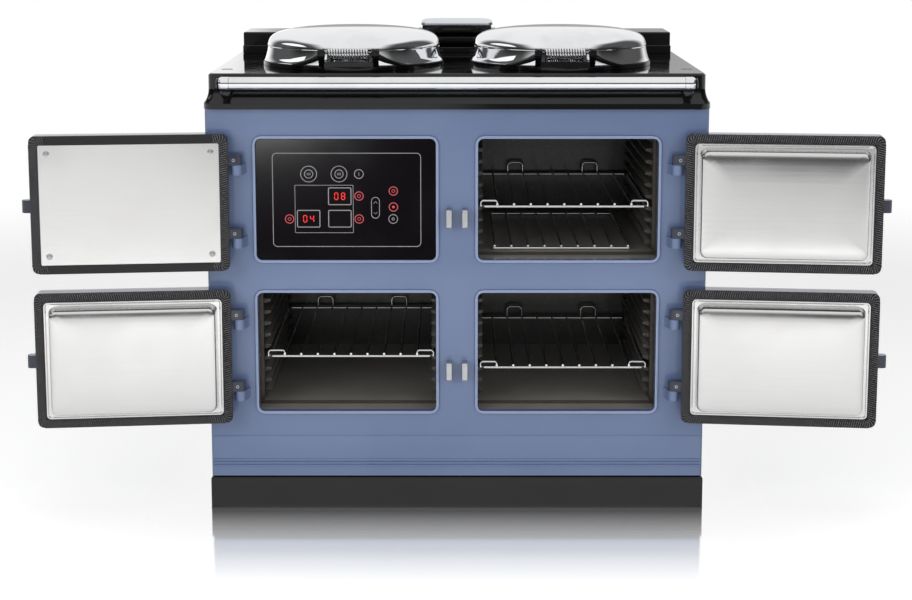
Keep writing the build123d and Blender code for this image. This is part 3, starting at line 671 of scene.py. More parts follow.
BLUE_GLAZE, BLUE_CLOUD = chart(94, 110, 144), chart(100, 116, 149)
BLUE = Enamel("blue_vitreous", BLUE_GLAZE, BLUE_CLOUD, gloss=0.16, ripple=0.06)
PLATE = TrimEnamel("plate_vitreous", BLUE_GLAZE, BLUE_CLOUD, gloss=0.16, ripple=0.06,
                   painted_highlight=chart(158, 172, 202))
DOOR = DoorEnamel("door_vitreous", BLUE_GLAZE, BLUE_CLOUD, gloss=0.16, ripple=0.06,
                  ground_coat_and_shade=chart(38, 43, 59))
BLACK = Enamel("black_vitreous", chart(13, 13, 15), chart(18, 18, 20), gloss=0.06, ripple=0.03, coat=0.4)
HOB = Enamel("hob_vitreous", chart(8, 8, 10), chart(12, 12, 14), gloss=0.03, ripple=0.02, shine=0.25)
OVEN = OvenEnamel("oven_enamel")
CHROME = Polished("chrome_polished")
DOME = Polished("chrome_dome", (0.88, 0.89, 0.91), roughness=0.02, wipes=0.05)
WIRE = Polished("chrome_wire", (0.78, 0.78, 0.79), roughness=0.1, wipes=0.1)
PAN = Brushed("pan_pressed", (0.78, 0.775, 0.77), 0.12, (2.0, 2.0, 160.0), buckle=0.9, scratch=0.006)
SHEET = Brushed("sheet_brushed", (0.88, 0.875, 0.865), 0.12, (4.0, 4.0, 900.0), buckle=0.4)
CAP = Brushed("cap_brushed", (0.80, 0.835, 0.87), 0.3, (6.0, 900.0, 6.0))
SCREW = Brushed("screw_zinc", (0.66, 0.66, 0.67), 0.28, (500.0, 500.0, 500.0))
PLATED = Brushed("catch_plated", (0.60, 0.60, 0.61), 0.2, (60.0, 60.0, 3.0))
ZINC = Galvanised("sheet_galvanised")
ROPE = WovenRope("rope_woven")
GLASS = BlackGlass("glass_black")
# the grey print glows faintly: painted light on ink
INK = Print("print_grey", chart(150, 148, 150), glow=0.25)
LAMP = Print("lamp_red", (0.85, 0.03, 0.025), glow=1.0)
LAMP_RING = Print("lamp_ring_red", (0.42, 0.06, 0.07), glow=0.5)
PACKING = Matt("packing_mineral", chart(205, 198, 182), chart(176, 168, 150), 400.0, 0.85, depth=1.0)
LAMINATE = Matt("board_laminate", chart(18, 74, 40), chart(12, 56, 30), 150.0, 0.4, depth=0.05)
GASKET = Matt("gasket_black", chart(20, 18, 19), chart(27, 25, 26), 500.0, 0.42, depth=0.05)
NYLON = Matt("gland_nylon", chart(34, 34, 36), chart(26, 26, 28), 700.0, 0.45, depth=0.05)


# Modelling by hand tools
class Part(Enum):
    """What an edit acts on."""

    POINTS = "VERT"
    EDGES = "EDGE"
    FACES = "FACE"


class Axis(Enum):
    """A direction that a plane faces."""

    ACROSS = Vector((1, 0, 0))
    UP = Vector((0, 0, 1))


def only(*pieces: bpy.types.Object) -> None:
    """Selects some pieces and nothing else.

    Args:
        pieces: The pieces; the first becomes the active one.
    """
    bpy.ops.object.select_all(action="DESELECT")
    for piece in pieces:
        piece.select_set(True)
    bpy.context.view_layer.objects.active = pieces[0]


@contextmanager
def editing(piece: bpy.types.Object) -> Iterator[None]:
    """Opens a piece for editing with nothing selected.

    Args:
        piece: The piece.

    Returns:
        A context in which edit mode is on.
    """
    only(piece)
    bpy.ops.object.mode_set(mode="EDIT")
    bpy.ops.mesh.select_mode(type=Part.POINTS.value)
    bpy.ops.mesh.select_all(action="DESELECT")
    yield
    bpy.ops.object.mode_set(mode="OBJECT")


def choose(piece: bpy.types.Object, part: Part, test: Test) -> None:
    """Selects a mesh's points, edges or faces in edit mode.

    Args:
        piece: The piece in edit mode.
        part: What is selected.
        test: Takes an element's middle, and its normal or an edge's direction.
    """
    bpy.ops.mesh.select_mode(type=part.value)
    bpy.ops.mesh.select_all(action="DESELECT")
    mesh = bmesh.from_edit_mesh(piece.data)
    if part is Part.FACES:
        for face in mesh.faces:
            face.select_set(test(face.calc_center_median(), face.normal))
    elif part is Part.EDGES:
        for edge in mesh.edges:
            start, end = (corner.co for corner in edge.verts)
            edge.select_set(test((start + end) / 2, (end - start).normalized()))
    else:
        for corner in mesh.verts:
            corner.select_set(test(corner.co, corner.normal))
    mesh.select_flush_mode()
    bmesh.update_edit_mesh(piece.data)


def latest(name: str) -> bpy.types.Object:
    """Names the object that an operator has just added.

    Args:
        name: The name for it and its mesh.

    Returns:
        The object.
    """
    piece = bpy.context.active_object
    piece.name = name
    piece.data.name = name
    return piece


def settle(piece: bpy.types.Object) -> bpy.types.Object:
    """Puts a piece's place, turn and size into its mesh.

    Args:
        piece: The piece.

    Returns:
        The piece.
    """
    only(piece)
    bpy.ops.object.transform_apply(location=True, rotation=True, scale=True)
    return piece


def outward(piece: bpy.types.Object, merge: float = MERGE) -> bpy.types.Object:
    """Merges doubles and turns every face outwards.

    Args:
        piece: The piece.
        merge: How near points are one, in metres.

    Returns:
        The piece.
    """
    with editing(piece):
        bpy.ops.mesh.select_all(action="SELECT")
        bpy.ops.mesh.remove_doubles(threshold=merge)
        bpy.ops.mesh.normals_make_consistent(inside=False)
    return piece


def moved(piece: bpy.types.Object, place: Matrix) -> bpy.types.Object:
    """Moves a mesh; where the move mirrors it, its faces and weighted normals are made right again.

    Args:
        piece: The piece.
        place: The move.

    Returns:
        The piece.
    """
    piece.data.transform(place)
    if place.determinant() > 0:
        return piece
    weighted = piece.data.has_custom_normals
    if weighted:
        only(piece)
        bpy.ops.mesh.customdata_custom_splitnormals_clear()
    outward(piece)
    return apply(piece, "WEIGHTED_NORMAL", keep_sharp=True) if weighted else piece


def smooth(piece: bpy.types.Object, angle: float = 35.0) -> bpy.types.Object:
    """Shades smoothly across edges that are nearly flat.

    Args:
        piece: The piece.
        angle: Edges sharper than this stay sharp.

    Returns:
        The piece.
    """
    only(piece)
    bpy.ops.object.shade_smooth_by_angle(angle=radians(angle))
    return piece


def apply(piece: bpy.types.Object, kind: str, **settings: Any) -> bpy.types.Object:
    """Adds a modifier, sets it and applies it.

    Args:
        piece: The piece.
        kind: The modifier's type.
        settings: Its settings.

    Returns:
        The piece.
    """
    only(piece)
    modifier = piece.modifiers.new(kind.title(), kind)
    for name, setting in settings.items():
        setattr(modifier, name, setting)
    bpy.ops.object.modifier_apply(modifier=modifier.name)
    return piece


def rounded(piece: bpy.types.Object, width: float, segments: int = 2, angle: float = 30.0,
            where: Test | None = None, clamp: bool = True) -> bpy.types.Object:
    """Rounds a piece's sharp edges.

    Args:
        piece: The piece.
        width: The rounding's width in millimetres.
        segments: Steps in the rounding.
        angle: Only edges sharper than this are rounded.
        where: Takes an edge's middle and direction; only edges that pass are rounded.
        clamp: Whether the width gives way where edges lie close together.

    Returns:
        The piece.
    """
    with editing(piece):
        bpy.ops.mesh.select_mode(type=Part.EDGES.value)
        mesh = bmesh.from_edit_mesh(piece.data)
        for edge in mesh.edges:
            start, end = (corner.co for corner in edge.verts)
            sharp = len(edge.link_faces) == 2 and edge.calc_face_angle() > radians(angle)
            edge.select_set(sharp and (where is None or where((start + end) / 2, (end - start).normalized())))
        mesh.select_flush_mode()
        bmesh.update_edit_mesh(piece.data)
        bpy.ops.mesh.bevel(offset=width * MM, segments=segments, clamp_overlap=clamp, miter_outer="ARC")
    return piece


def eased(piece: bpy.types.Object, width: float, segments: int = 2, angle: float = 30.0,
          where: Test | None = None, clamp: bool = True) -> bpy.types.Object:
    """Rounds a piece's sharp edges, by the same arguments, and shades it smooth with its faces kept flat."""
    smooth(rounded(piece, width, segments, angle, where, clamp))
    return apply(piece, "WEIGHTED_NORMAL", keep_sharp=True)


def joined(name: str, pieces: Sequence[bpy.types.Object]) -> bpy.types.Object:
    """Makes one object of several.

    Args:
        name: The object's name.
        pieces: What it is made of.

    Returns:
        The object.
    """
    only(*pieces)
    if len(pieces) > 1:
        bpy.ops.object.join()
    return latest(name)


def copied(piece: bpy.types.Object, name: str) -> bpy.types.Object:
    """Copies a piece with its mesh.

    Args:
        piece: The piece.
        name: The copy's name.

    Returns:
        The copy.
    """
    twin = bpy.data.objects.new(name, piece.data.copy())
    twin.data.name = name
    bpy.context.scene.collection.objects.link(twin)
    return twin


def repeated(name: str, piece: bpy.types.Object, places: Sequence[Matrix]) -> bpy.types.Object:
    """Makes one object with a copy of a piece at each place.

    Args:
        name: The object's name.
        piece: The piece, which takes the first place itself.
        places: A move for each copy.

    Returns:
        The object.
    """
    copies = [copied(piece, f"{name}_{i}") for i in range(1, len(places))]
    for one, place in zip([piece, *copies], places):
        moved(one, place)
    return joined(name, [piece, *copies])


def box(name: str, low: Point, high: Point) -> bpy.types.Object:
    """Makes a block.

    Args:
        name: The object's name.
        low: Its lowest corner, in millimetres.
        high: Its highest corner.

    Returns:
        The block.
    """
    bpy.ops.mesh.primitive_cube_add(size=1)
    piece = latest(name)
    piece.scale = [(b - a) * MM for a, b in zip(low, high)]
    piece.location = [(a + b) / 2 * MM for a, b in zip(low, high)]
    return settle(piece)


def plate(name: str, width: float, height: float, corner: float, thickness: float,
          steps: int = 6) -> bpy.types.Object:
    """A plate with round corners that lies on the drawing plane and rises by its thickness.

    Args:
        name: The object's name.
        width: Its size across, in millimetres.
        height: Its size up the drawing plane.
        corner: The radius of its corners.
        thickness: How far it rises.
        steps: Steps in each corner.

    Returns:
        The plate.
    """
    bpy.ops.mesh.primitive_plane_add(size=1)
    piece = latest(name)
    piece.scale = (width * MM, height * MM, 1)
    settle(piece)
    with editing(piece):
        bpy.ops.mesh.select_all(action="SELECT")
        if corner:
            bpy.ops.mesh.bevel(affect="VERTICES", offset=corner * MM, segments=steps)
            bpy.ops.mesh.select_all(action="SELECT")
        bpy.ops.mesh.extrude_region_move(TRANSFORM_OT_translate={"value": (0, 0, thickness * MM)})
    return outward(piece)


def crowned(piece: bpy.types.Object, width: float, height: float, steps: Profile) -> bpy.types.Object:
    """Raises a plate's top in steps, each drawn in towards the middle.

    Args:
        piece: A plate on the drawing plane.
        width: The top's size across, in millimetres.
        height: Its size up the drawing plane.
        steps: How far each step is drawn in, and how far it rises.

    Returns:
        The piece.
    """
    with editing(piece):
        choose(piece, Part.FACES, lambda middle, normal: normal.z > SQUARE_ON)
        for inset, rise in steps:
            shrunk = (width - 2 * inset, height - 2 * inset)
            bpy.ops.mesh.extrude_region_move(TRANSFORM_OT_translate={"value": (0, 0, rise * MM)})
            bpy.ops.transform.resize(value=(shrunk[0] / width, shrunk[1] / height, 1))
            width, height = shrunk
    return piece


def strip(name: str, width: float, height: float, corner: float, line: float) -> bpy.types.Object:
    """A printed line round a rectangle with round corners, on the drawing plane.

    Args:
        name: The object's name.
        width: Its size across, in millimetres.
        height: Its size up the drawing plane.
        corner: The radius of its corners.
        line: The line's width.

    Returns:
        The line.
    """
    bpy.ops.mesh.primitive_plane_add(size=1)
    piece = latest(name)
    piece.scale = (width * MM, height * MM, 1)
    settle(piece)
    with editing(piece):
        bpy.ops.mesh.select_all(action="SELECT")
        bpy.ops.mesh.bevel(affect="VERTICES", offset=corner * MM, segments=8)
        bpy.ops.mesh.select_all(action="SELECT")
        bpy.ops.mesh.inset(thickness=line * MM)
        bpy.ops.mesh.delete(type="FACE")
        bpy.ops.mesh.select_all(action="SELECT")
        bpy.ops.mesh.extrude_region_move(TRANSFORM_OT_translate={"value": (0, 0, INK_RISE * MM)})
    return outward(piece)


def lathe(name: str, profile: Profile, steps: int = 96) -> bpy.types.Object:
    """A turned piece about the upright axis.

    Args:
        name: The object's name.
        profile: (radius, height) points in millimetres; a radius of 0 closes a pole.
        steps: Steps round the axis.

    Returns:
        The turned piece.
    """
    bpy.ops.mesh.primitive_plane_add(size=0.001)
    piece = latest(name)
    with editing(piece):
        bpy.ops.mesh.select_all(action="SELECT")
        bpy.ops.mesh.merge(type="CENTER")
        radius, height = profile[0]
        bpy.ops.transform.translate(value=(radius * MM, 0, height * MM))
        for (r0, z0), (r1, z1) in zip(profile, profile[1:]):
            step = ((r1 - r0) * MM, 0, (z1 - z0) * MM)
            bpy.ops.mesh.extrude_vertices_move(TRANSFORM_OT_translate={"value": step})
        bpy.ops.mesh.select_all(action="SELECT")
        bpy.ops.mesh.spin(steps=steps, angle=tau, center=(0, 0, 0), axis=(0, 0, 1))
    return outward(piece, 2 * MERGE)


def turning(path: Sequence[Point], corner: float, closed: bool = False, steps: int = 5) -> list[Vector]:
    """A route of straight runs with its corners rounded.

    Args:
        path: The corners, in millimetres.
        corner: Radius of the rounding.
        closed: Whether the last point leads back to the first.
        steps: Points in each rounding.

    Returns:
        The points of the rounded route, in metres.
    """
    marks = [Vector(point) * MM for point in path]
    route = [] if closed else [marks[0]]
    count = len(marks)
    for i in range(count) if closed else range(1, count - 1):
        before, here, after = marks[i - 1], marks[i], marks[(i + 1) % count]
        back, on = (before - here).normalized(), (after - here).normalized()
        if back.angle(on) > STRAIGHT:
            route.append(here)
            continue
        half = back.angle(on) / 2
        middle = here + (back + on).normalized() * (corner * MM / sin(half))
        start = here + back * (corner * MM * cos(half) / sin(half)) - middle
        end = here + on * (corner * MM * cos(half) / sin(half)) - middle
        sweep = start.angle(end)
        for step in range(steps + 1):
            share = step / steps
            bend = (start * sin((1 - share) * sweep) + end * sin(share * sweep)) / sin(sweep)
            route.append(middle + bend)
    return route if closed else [*route, marks[-1]]


def wire(name: str, route: Sequence[Vector], radius: float, closed: bool = False,
         sides: int = 3, swell: Sequence[float] = ()) -> bpy.types.Object:
    """A round wire along a route.

    Args:
        name: The object's name.
        route: Its points, in metres.
        radius: The wire's radius in millimetres.
        closed: Whether it runs in a ring.
        sides: Fineness of the section.
        swell: A factor on the radius at each point, if it changes.

    Returns:
        The wire as a mesh.
    """
    curve = bpy.data.curves.new(name, "CURVE")
    curve.dimensions = "3D"
    curve.bevel_depth = radius * MM
    curve.bevel_resolution = sides
    curve.use_fill_caps = not closed
    spline = curve.splines.new("POLY")
    spline.points.add(len(route) - 1)
    for i, place in enumerate(route):
        spline.points[i].co = (*place, 1.0)
        spline.points[i].radius = swell[i] if swell else 1.0
    spline.use_cyclic_u = closed
    piece = bpy.data.objects.new(name, curve)
    bpy.context.scene.collection.objects.link(piece)
    only(piece)
    bpy.ops.object.convert(target="MESH")
    return smooth(outward(latest(name)), 50.0)


# Sub-assemblies
class Cooker:
    """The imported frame, and what each piece is handed over to."""

    def __init__(self, frame: dict[str, Any]) -> None:
        """Keeps the frame's nodes and the record's slot of each."""
        self.nodes = frame["nodes"]
        self.slots = {part["node"]: part["material_slot"] for part in frame["record"]["subparts"]}

    def hand_over(self, piece: bpy.types.Object, body: str, finish: Finish, node: str,
                  replaces: bool = False) -> bpy.types.Object:
        """Finishes a piece and lets it ride on its body.

        Args:
            piece: The piece.
            body: The body that carries it.
            finish: Its finish.
            node: The CAD node it belongs to.
            replaces: Whether it stands for that node.

        Returns:
            The piece.
        """
        piece.data.materials.clear()
        piece.data.materials.append(finish.material())
        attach(piece, body)
        if replaces:
            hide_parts(node)
        LOG.info("%s rides on %s in %s, %d faces", piece.name, body, finish.name, len(piece.data.polygons))
        return piece

    def blank(self, node: str, name: str, cuts: Sequence[tuple[Axis, float]] = ()) -> bpy.types.Object:
        """A copy of a CAD node with its flat faces made whole again.

        Args:
            node: The node.
            name: The copy's name.
            cuts: Planes, by axis and millimetres, that split faces which go round a hole.

        Returns:
            The copy.
        """
        piece = copied(self.nodes[node], name)
        with editing(piece):
            bpy.ops.mesh.select_all(action="SELECT")
            bpy.ops.mesh.remove_doubles(threshold=MERGE)
            bpy.ops.mesh.dissolve_limited(angle_limit=radians(0.5))
            for axis, place in cuts:
                bpy.ops.mesh.select_all(action="SELECT")
                bpy.ops.mesh.bisect(plane_co=axis.value * place * MM, plane_no=axis.value)
        return piece

    def cast(self, node: str, name: str, width: float, segments: int = 2) -> bpy.types.Object:
        """A copy of a CAD node with its edges rounded by a width in millimetres, in so many steps."""
        return eased(self.blank(node, name), width, segments)

    def keep(self, node: str, finish: Finish) -> None:
        """Gives a CAD node that stays its finish.

        Args:
            node: The node.
            finish: The finish.
        """
        piece = self.nodes[node]
        piece.data.materials.clear()
        piece.data.materials.append(finish.material())
        LOG.info("%s stays, in %s", node, finish.name)


def screw(name: str, radius: float, height: float) -> bpy.types.Object:
    """A domed screw head with a cross slot, on the drawing plane.

    Args:
        name: The object's name.
        radius: The head's radius in millimetres.
        height: How far it rises.

    Returns:
        The head.
    """
    dome = lathe(f"{name}_dome", [(0, 0), (radius, 0), (radius, height * 0.3), (radius * 0.86, height * 0.7),
                                  (radius * 0.5, height * 0.96), (0, height)], 20)
    long, short = radius * 0.55, radius * 0.1
    bars = [box(f"{name}_slot", (-x, -y, height * 0.97), (x, y, height * 1.02))
            for x, y in ((long, short), (short, long))]
    return smooth(joined(name, [dome, *bars]), 40.0)


@dataclass
class Carcase:
    """Front plate, sides, rear panel, plinth and what is inside."""

    cooker: Cooker
    columns: tuple[float, ...] = (-460.0, -OPENING_X, 0.0, OPENING_X, 460.0)
    levels: tuple[float, ...] = (120.0, LOWER, (LOWER + UPPER) / 2, UPPER)
    trim_edge: float = TRIM_EDGE
    trims_half: float = 410.0
    trim_roll: float = 2.6
    plinth_top: float = 63.5
    plinth_front: float = -314.5
    plinth_half: float = 493.0
    plinth_roll: float = 5.0
    rear: float = 320.0
    strip_y: float = 315.5
    strip_half: float = 486.0
    strip_bottom: float = 806.2
    strip_top: float = 860.4
    strip_border: float = 9.0
    strip_step: tuple[float, float] = (2.5, 1.6)
    sheet: float = 1.4
    screw_size: tuple[float, float] = (4.2, 2.6)
    screw_columns: tuple[float, ...] = (-478.0, -240.0, 0.0, 240.0, 478.0)
    screw_rows: tuple[float, ...] = (84.0, 790.0)
    louvre_size: tuple[float, float] = (180.0, 4.0)
    louvre_rise: float = 2.4
    louvre_pitch: float = 8.0
    louvre_x: float = 300.0
    louvre_bottom: float = 272.0
    louvres: int = 6

    def build(self) -> None:
        """Makes the carcase's pieces."""
        hand, cast = self.cooker.hand_over, self.cooker.cast
        hand(self.front_plate(), "cooker", PLATE, "front_plate", True)
        hand(cast("side_panels", "side_panels_enamel", 0.9), "cooker", BLUE, "side_panels", True)
        hand(self.plinth(), "cooker", BLACK, "plinth", True)
        hand(cast("base_frame", "base_frame_enamel", 0.5), "cooker", BLACK, "base_frame", True)
        hand(cast("rear_panel", "rear_panel_sheet", 0.5), "cooker", ZINC, "rear_panel", True)
        for node, finish in (("levelling_feet", ZINC), ("heating_elements", ZINC), ("insulation", PACKING)):
            self.cooker.keep(node, finish)
        self.screws()
        self.vents()
        self.rear_strip()

    def front_plate(self) -> bpy.types.Object:
        """Rounds the front plate: a soft roll round each opening, finer edges on the rest.

        Returns:
            The front plate.
        """
        cuts = [(Axis.ACROSS, x) for x in self.columns] + [(Axis.UP, z) for z in self.levels]
        casting = self.cooker.blank("front_plate", "front_plate_enamel", cuts)

        def on_trim(middle: Vector, run: Vector) -> bool:
            """Whether an edge lies on the face of an opening's trim."""
            return middle.y < self.trim_edge * MM and abs(middle.x) < self.trims_half * MM

        rounded(casting, self.trim_roll, 4, where=on_trim, clamp=False)
        return eased(casting, 0.8, angle=40.0)

    def plinth(self) -> bpy.types.Object:
        """Rounds the plinth: a full roll along its top, at the front and the sides.

        Returns:
            The plinth.
        """
        plinth = self.cooker.blank("plinth", "plinth_enamel")

        def along_top(middle: Vector, run: Vector) -> bool:
            """Whether an edge runs along the top, at the front or a side."""
            outer = middle.y < self.plinth_front * MM or abs(middle.x) > self.plinth_half * MM
            return middle.z > self.plinth_top * MM and outer

        rounded(plinth, self.plinth_roll, 5, 40.0, along_top, False)
        return eased(plinth, 0.7, angle=40.0)

    def rear_strip(self) -> None:
        """The sheet that closes the top of the rear, above the panel."""
        front, back = self.strip_y - self.sheet / 2, self.strip_y + self.sheet / 2
        closing = box("rear_panel_upper", (-self.strip_half, front, self.strip_bottom),
                      (self.strip_half, back, self.strip_top))
        with editing(closing):
            choose(closing, Part.FACES, lambda middle, normal: normal.y > SQUARE_ON)
            for inset, rise in ((self.strip_border, 0.0), self.strip_step):
                bpy.ops.mesh.inset(thickness=inset * MM, depth=rise * MM)
        self.cooker.hand_over(eased(closing, 0.5), "cooker", ZINC, "rear_panel")

    def screws(self) -> None:
        """Screws along the rear panel's edges."""
        places = [at(x, self.rear, z) @ FACING_REAR for x in self.screw_columns for z in self.screw_rows]
        head = screw("rear_panel_screws", *self.screw_size)
        self.cooker.hand_over(repeated("rear_panel_screws", head, places), "cooker", SCREW, "rear_panel")

    def vents(self) -> None:
        """Pressed louvres in the rear panel, above the terminal box."""
        places = [at(side * self.louvre_x, self.rear - 0.5, self.louvre_bottom + self.louvre_pitch * i)
                  @ FACING_REAR for side in (-1, 1) for i in range(self.louvres)]
        louvre = plate("rear_panel_louvres", *self.louvre_size, 1.9, self.louvre_rise, 4)
        with editing(louvre):
            choose(louvre, Part.FACES, lambda middle, normal: normal.z > SQUARE_ON)
            bpy.ops.transform.resize(value=(0.98, 0.4, 1))
        row = repeated("rear_panel_louvres", smooth(louvre), places)
        self.cooker.hand_over(row, "cooker", ZINC, "rear_panel")


@dataclass
class Hob:
    """Top plate, handrail, risers, vent cowl and hotplates."""

    cooker: Cooker
    top: float = 875.0
    cap_rise: float = 12.9
    rail_radius: float = 12.0
    rail_half: float = 434.9
    rail_y: float = -379.0
    rail_z: float = 861.0
    sleeve_end: float = 456.5
    boss: Point = (447.0, -324.6, 841.0)
    boss_profile: Profile = ((0, 0), (13.0, 0), (13.0, 5.0), (12.0, 9.5), (9.4, 13.6), (5.6, 16.2), (0, 17.0))
    disc_profile: Profile = ((0, 0), (9.4, 0), (10.4, 0.8), (10.4, 1.8), (9.4, 2.4), (0, 2.4))
    arm_path: Profile = ((-330.0, 846.0), (-342.0, 848.5), (-354.0, 853.0), (-364.0, 858.0), (-371.0, 861.0))
    arm_x: float = 450.0
    arm_radius: float = 8.5
    arm_swell: tuple[float, ...] = (1.0, 0.95, 0.9, 0.9, 0.9)
    disc: Point = (456.6, -378.0, 860.0)
    plug_radius: float = 12.0
    plugs: tuple[tuple[float, float], ...] = ((-457.0, -224.0), (457.0, -224.0))
    hotplates: tuple[float, ...] = (-HOTPLATE_X, HOTPLATE_X)
    hotplate_y: float = HOTPLATE_Y
    hotplate_radius: float = 161.0
    hotplate_depth: float = 45.0

    def build(self) -> None:
        """Makes the hob's pieces."""
        hand, cast = self.cooker.hand_over, self.cooker.cast
        hand(self.top_plate(), "cooker", HOB, "top_plate", True)
        hand(cast("rear_riser", "rear_riser_enamel", 1.4, 3), "cooker", BLACK, "rear_riser", True)
        hand(cast("vent_cowl", "vent_cowl_enamel", 1.2, 3), "cooker", BLACK, "vent_cowl", True)
        hand(self.vent_cap(), "cooker", CAP, "vent_cap", True)
        self.handrail()
        self.sleeves()
        self.arms()
        self.plug_discs()
        self.rings()
        self.discs()

    def top_plate(self) -> bpy.types.Object:
        """The top plate, cut clean through the middles of its wells before its edges are rounded."""
        cuts = [(Axis.ACROSS, x) for x in (self.hotplates[0], 0.0, self.hotplates[1])]
        return eased(self.cooker.blank("top_plate", "top_plate_enamel", cuts), 1.4, 3)

    def vent_cap(self) -> bpy.types.Object:
        """Makes the cowl's cap, a cushion-shaped pressing.

        Returns:
            The cap.
        """
        low, high = (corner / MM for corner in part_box("vent_cap"))
        width, depth, _ = high - low
        cap = plate("vent_cap_brushed", width, depth, 14.0, 3.2, 8)
        crowned(cap, width, depth, ((0.3, 1.6), (0.9, 1.5), (1.8, 1.5), (3.4, 1.5), (5.5, 1.3), (8.0, 1.1),
                                    (9.0, 0.7), (9.0, 0.4), (5.0, 0.1)))
        return smooth(moved(cap, at(0, (low.y + high.y) / 2, high.z - self.cap_rise)), 60.0)

    def handrail(self) -> None:
        """A bright tube between the sleeves."""
        r, half, edge = self.rail_radius, self.rail_half, 0.2
        tube = lathe("handrail_tube", [(0, -half), (r - edge, -half), (r, -half + edge), (r, half - edge),
                                       (r - edge, half), (0, half)], 72)
        moved(tube, at(0, self.rail_y, self.rail_z) @ ALONG_X)
        self.cooker.hand_over(smooth(tube), "cooker", CHROME, "handrail", True)

    def sleeves(self) -> None:
        """Bright sleeves with round ends on the rail."""
        r, inner, end = self.rail_radius, self.rail_half, self.sleeve_end
        sleeve = lathe("handrail_sleeves", [
            (0, inner + 0.3), (r, inner + 0.3), (r + 0.35, inner + 0.7), (r + 0.35, end - 8),
            (r - 0.4, end - 5), (r - 2.0, end - 2.4), (r - 4.6, end - 0.6), (r - 7.5, end), (0, end)], 72)
        turns = [at(0, self.rail_y, self.rail_z) @ turn @ ALONG_X for turn in (Matrix(), HALF_TURN)]
        self.cooker.hand_over(smooth(repeated("handrail_sleeves", sleeve, turns), 40.0), "cooker", CHROME,
                              "handrail_brackets", True)

    def arms(self) -> None:
        """Black arms that come up from bosses on the apron to discs on the sleeves' ends."""
        pieces = []
        for side, turn in ((-1, HALF_TURN), (1, Matrix())):
            mirror = Matrix.Diagonal((side, 1, 1, 1))
            foot, head = (Matrix.Translation(mirror @ Vector(point) * MM) for point in (self.boss, self.disc))
            boss = moved(lathe("boss", self.boss_profile, 40), foot @ FACING_FRONT)
            disc = moved(lathe("disc", self.disc_profile, 40), head @ turn @ ALONG_X)
            route = [Vector((side * self.arm_x, y, z)) * MM for y, z in self.arm_path]
            arm = wire("arm", route, self.arm_radius, swell=self.arm_swell)
            pieces += [smooth(boss, 50.0), arm, smooth(disc)]
        self.cooker.hand_over(joined("handrail_arms", pieces), "cooker", BLACK, "handrail_brackets")

    def plug_discs(self) -> None:
        """Plugs in the plate."""
        r = self.plug_radius
        plug = lathe("top_plate_plugs", [(0, 0), (r, 0), (r - 0.2, 0.35), (r - 1.4, 0.5), (r - 1.9, 0.25),
                                         (0, 0.25)], 48)
        row = repeated("top_plate_plugs", plug, [at(x, y, self.top) for x, y in self.plugs])
        self.cooker.hand_over(smooth(row, 20.0), "cooker", BLACK, "top_plate")

    def rings(self) -> None:
        """A bright ring in each hotplate's gap."""
        r = self.hotplate_radius
        ring = lathe("hotplate_rings", [(r + 0.2, -6), (r + 2.1, -6), (r + 2.1, -1.0), (r + 1.6, -0.5),
                                        (r + 0.7, -0.5), (r + 0.2, -1.0), (r + 0.2, -6)], 128)
        places = [at(x, self.hotplate_y, self.top) for x in self.hotplates]
        self.cooker.hand_over(smooth(repeated("hotplate_rings", ring, places)), "cooker", CHROME, "hotplates")

    def discs(self) -> None:
        """The hotplates, turned with a shallow rim and rings."""
        r, low = self.hotplate_radius, -self.hotplate_depth
        profile = [(0, low), (r - 2, low), (r, low + 2), (r, -1.2), (r - 1.2, 0), (r - 9, 0), (r - 10, -0.7),
                   (r - 12, -0.7), (r - 13, -0.15), (0, -0.15)]
        for i, (name, x) in enumerate(zip(("left", "right"), self.hotplates)):
            disc = moved(lathe(f"hotplate_{name}", profile, 128), at(x, self.hotplate_y, self.top))
            finish = GroundIron(f"hotplate_iron_{name}", (x, self.hotplate_y, self.top))
            self.cooker.hand_over(smooth(disc, 25.0), "cooker", finish, "hotplates", i == 0)


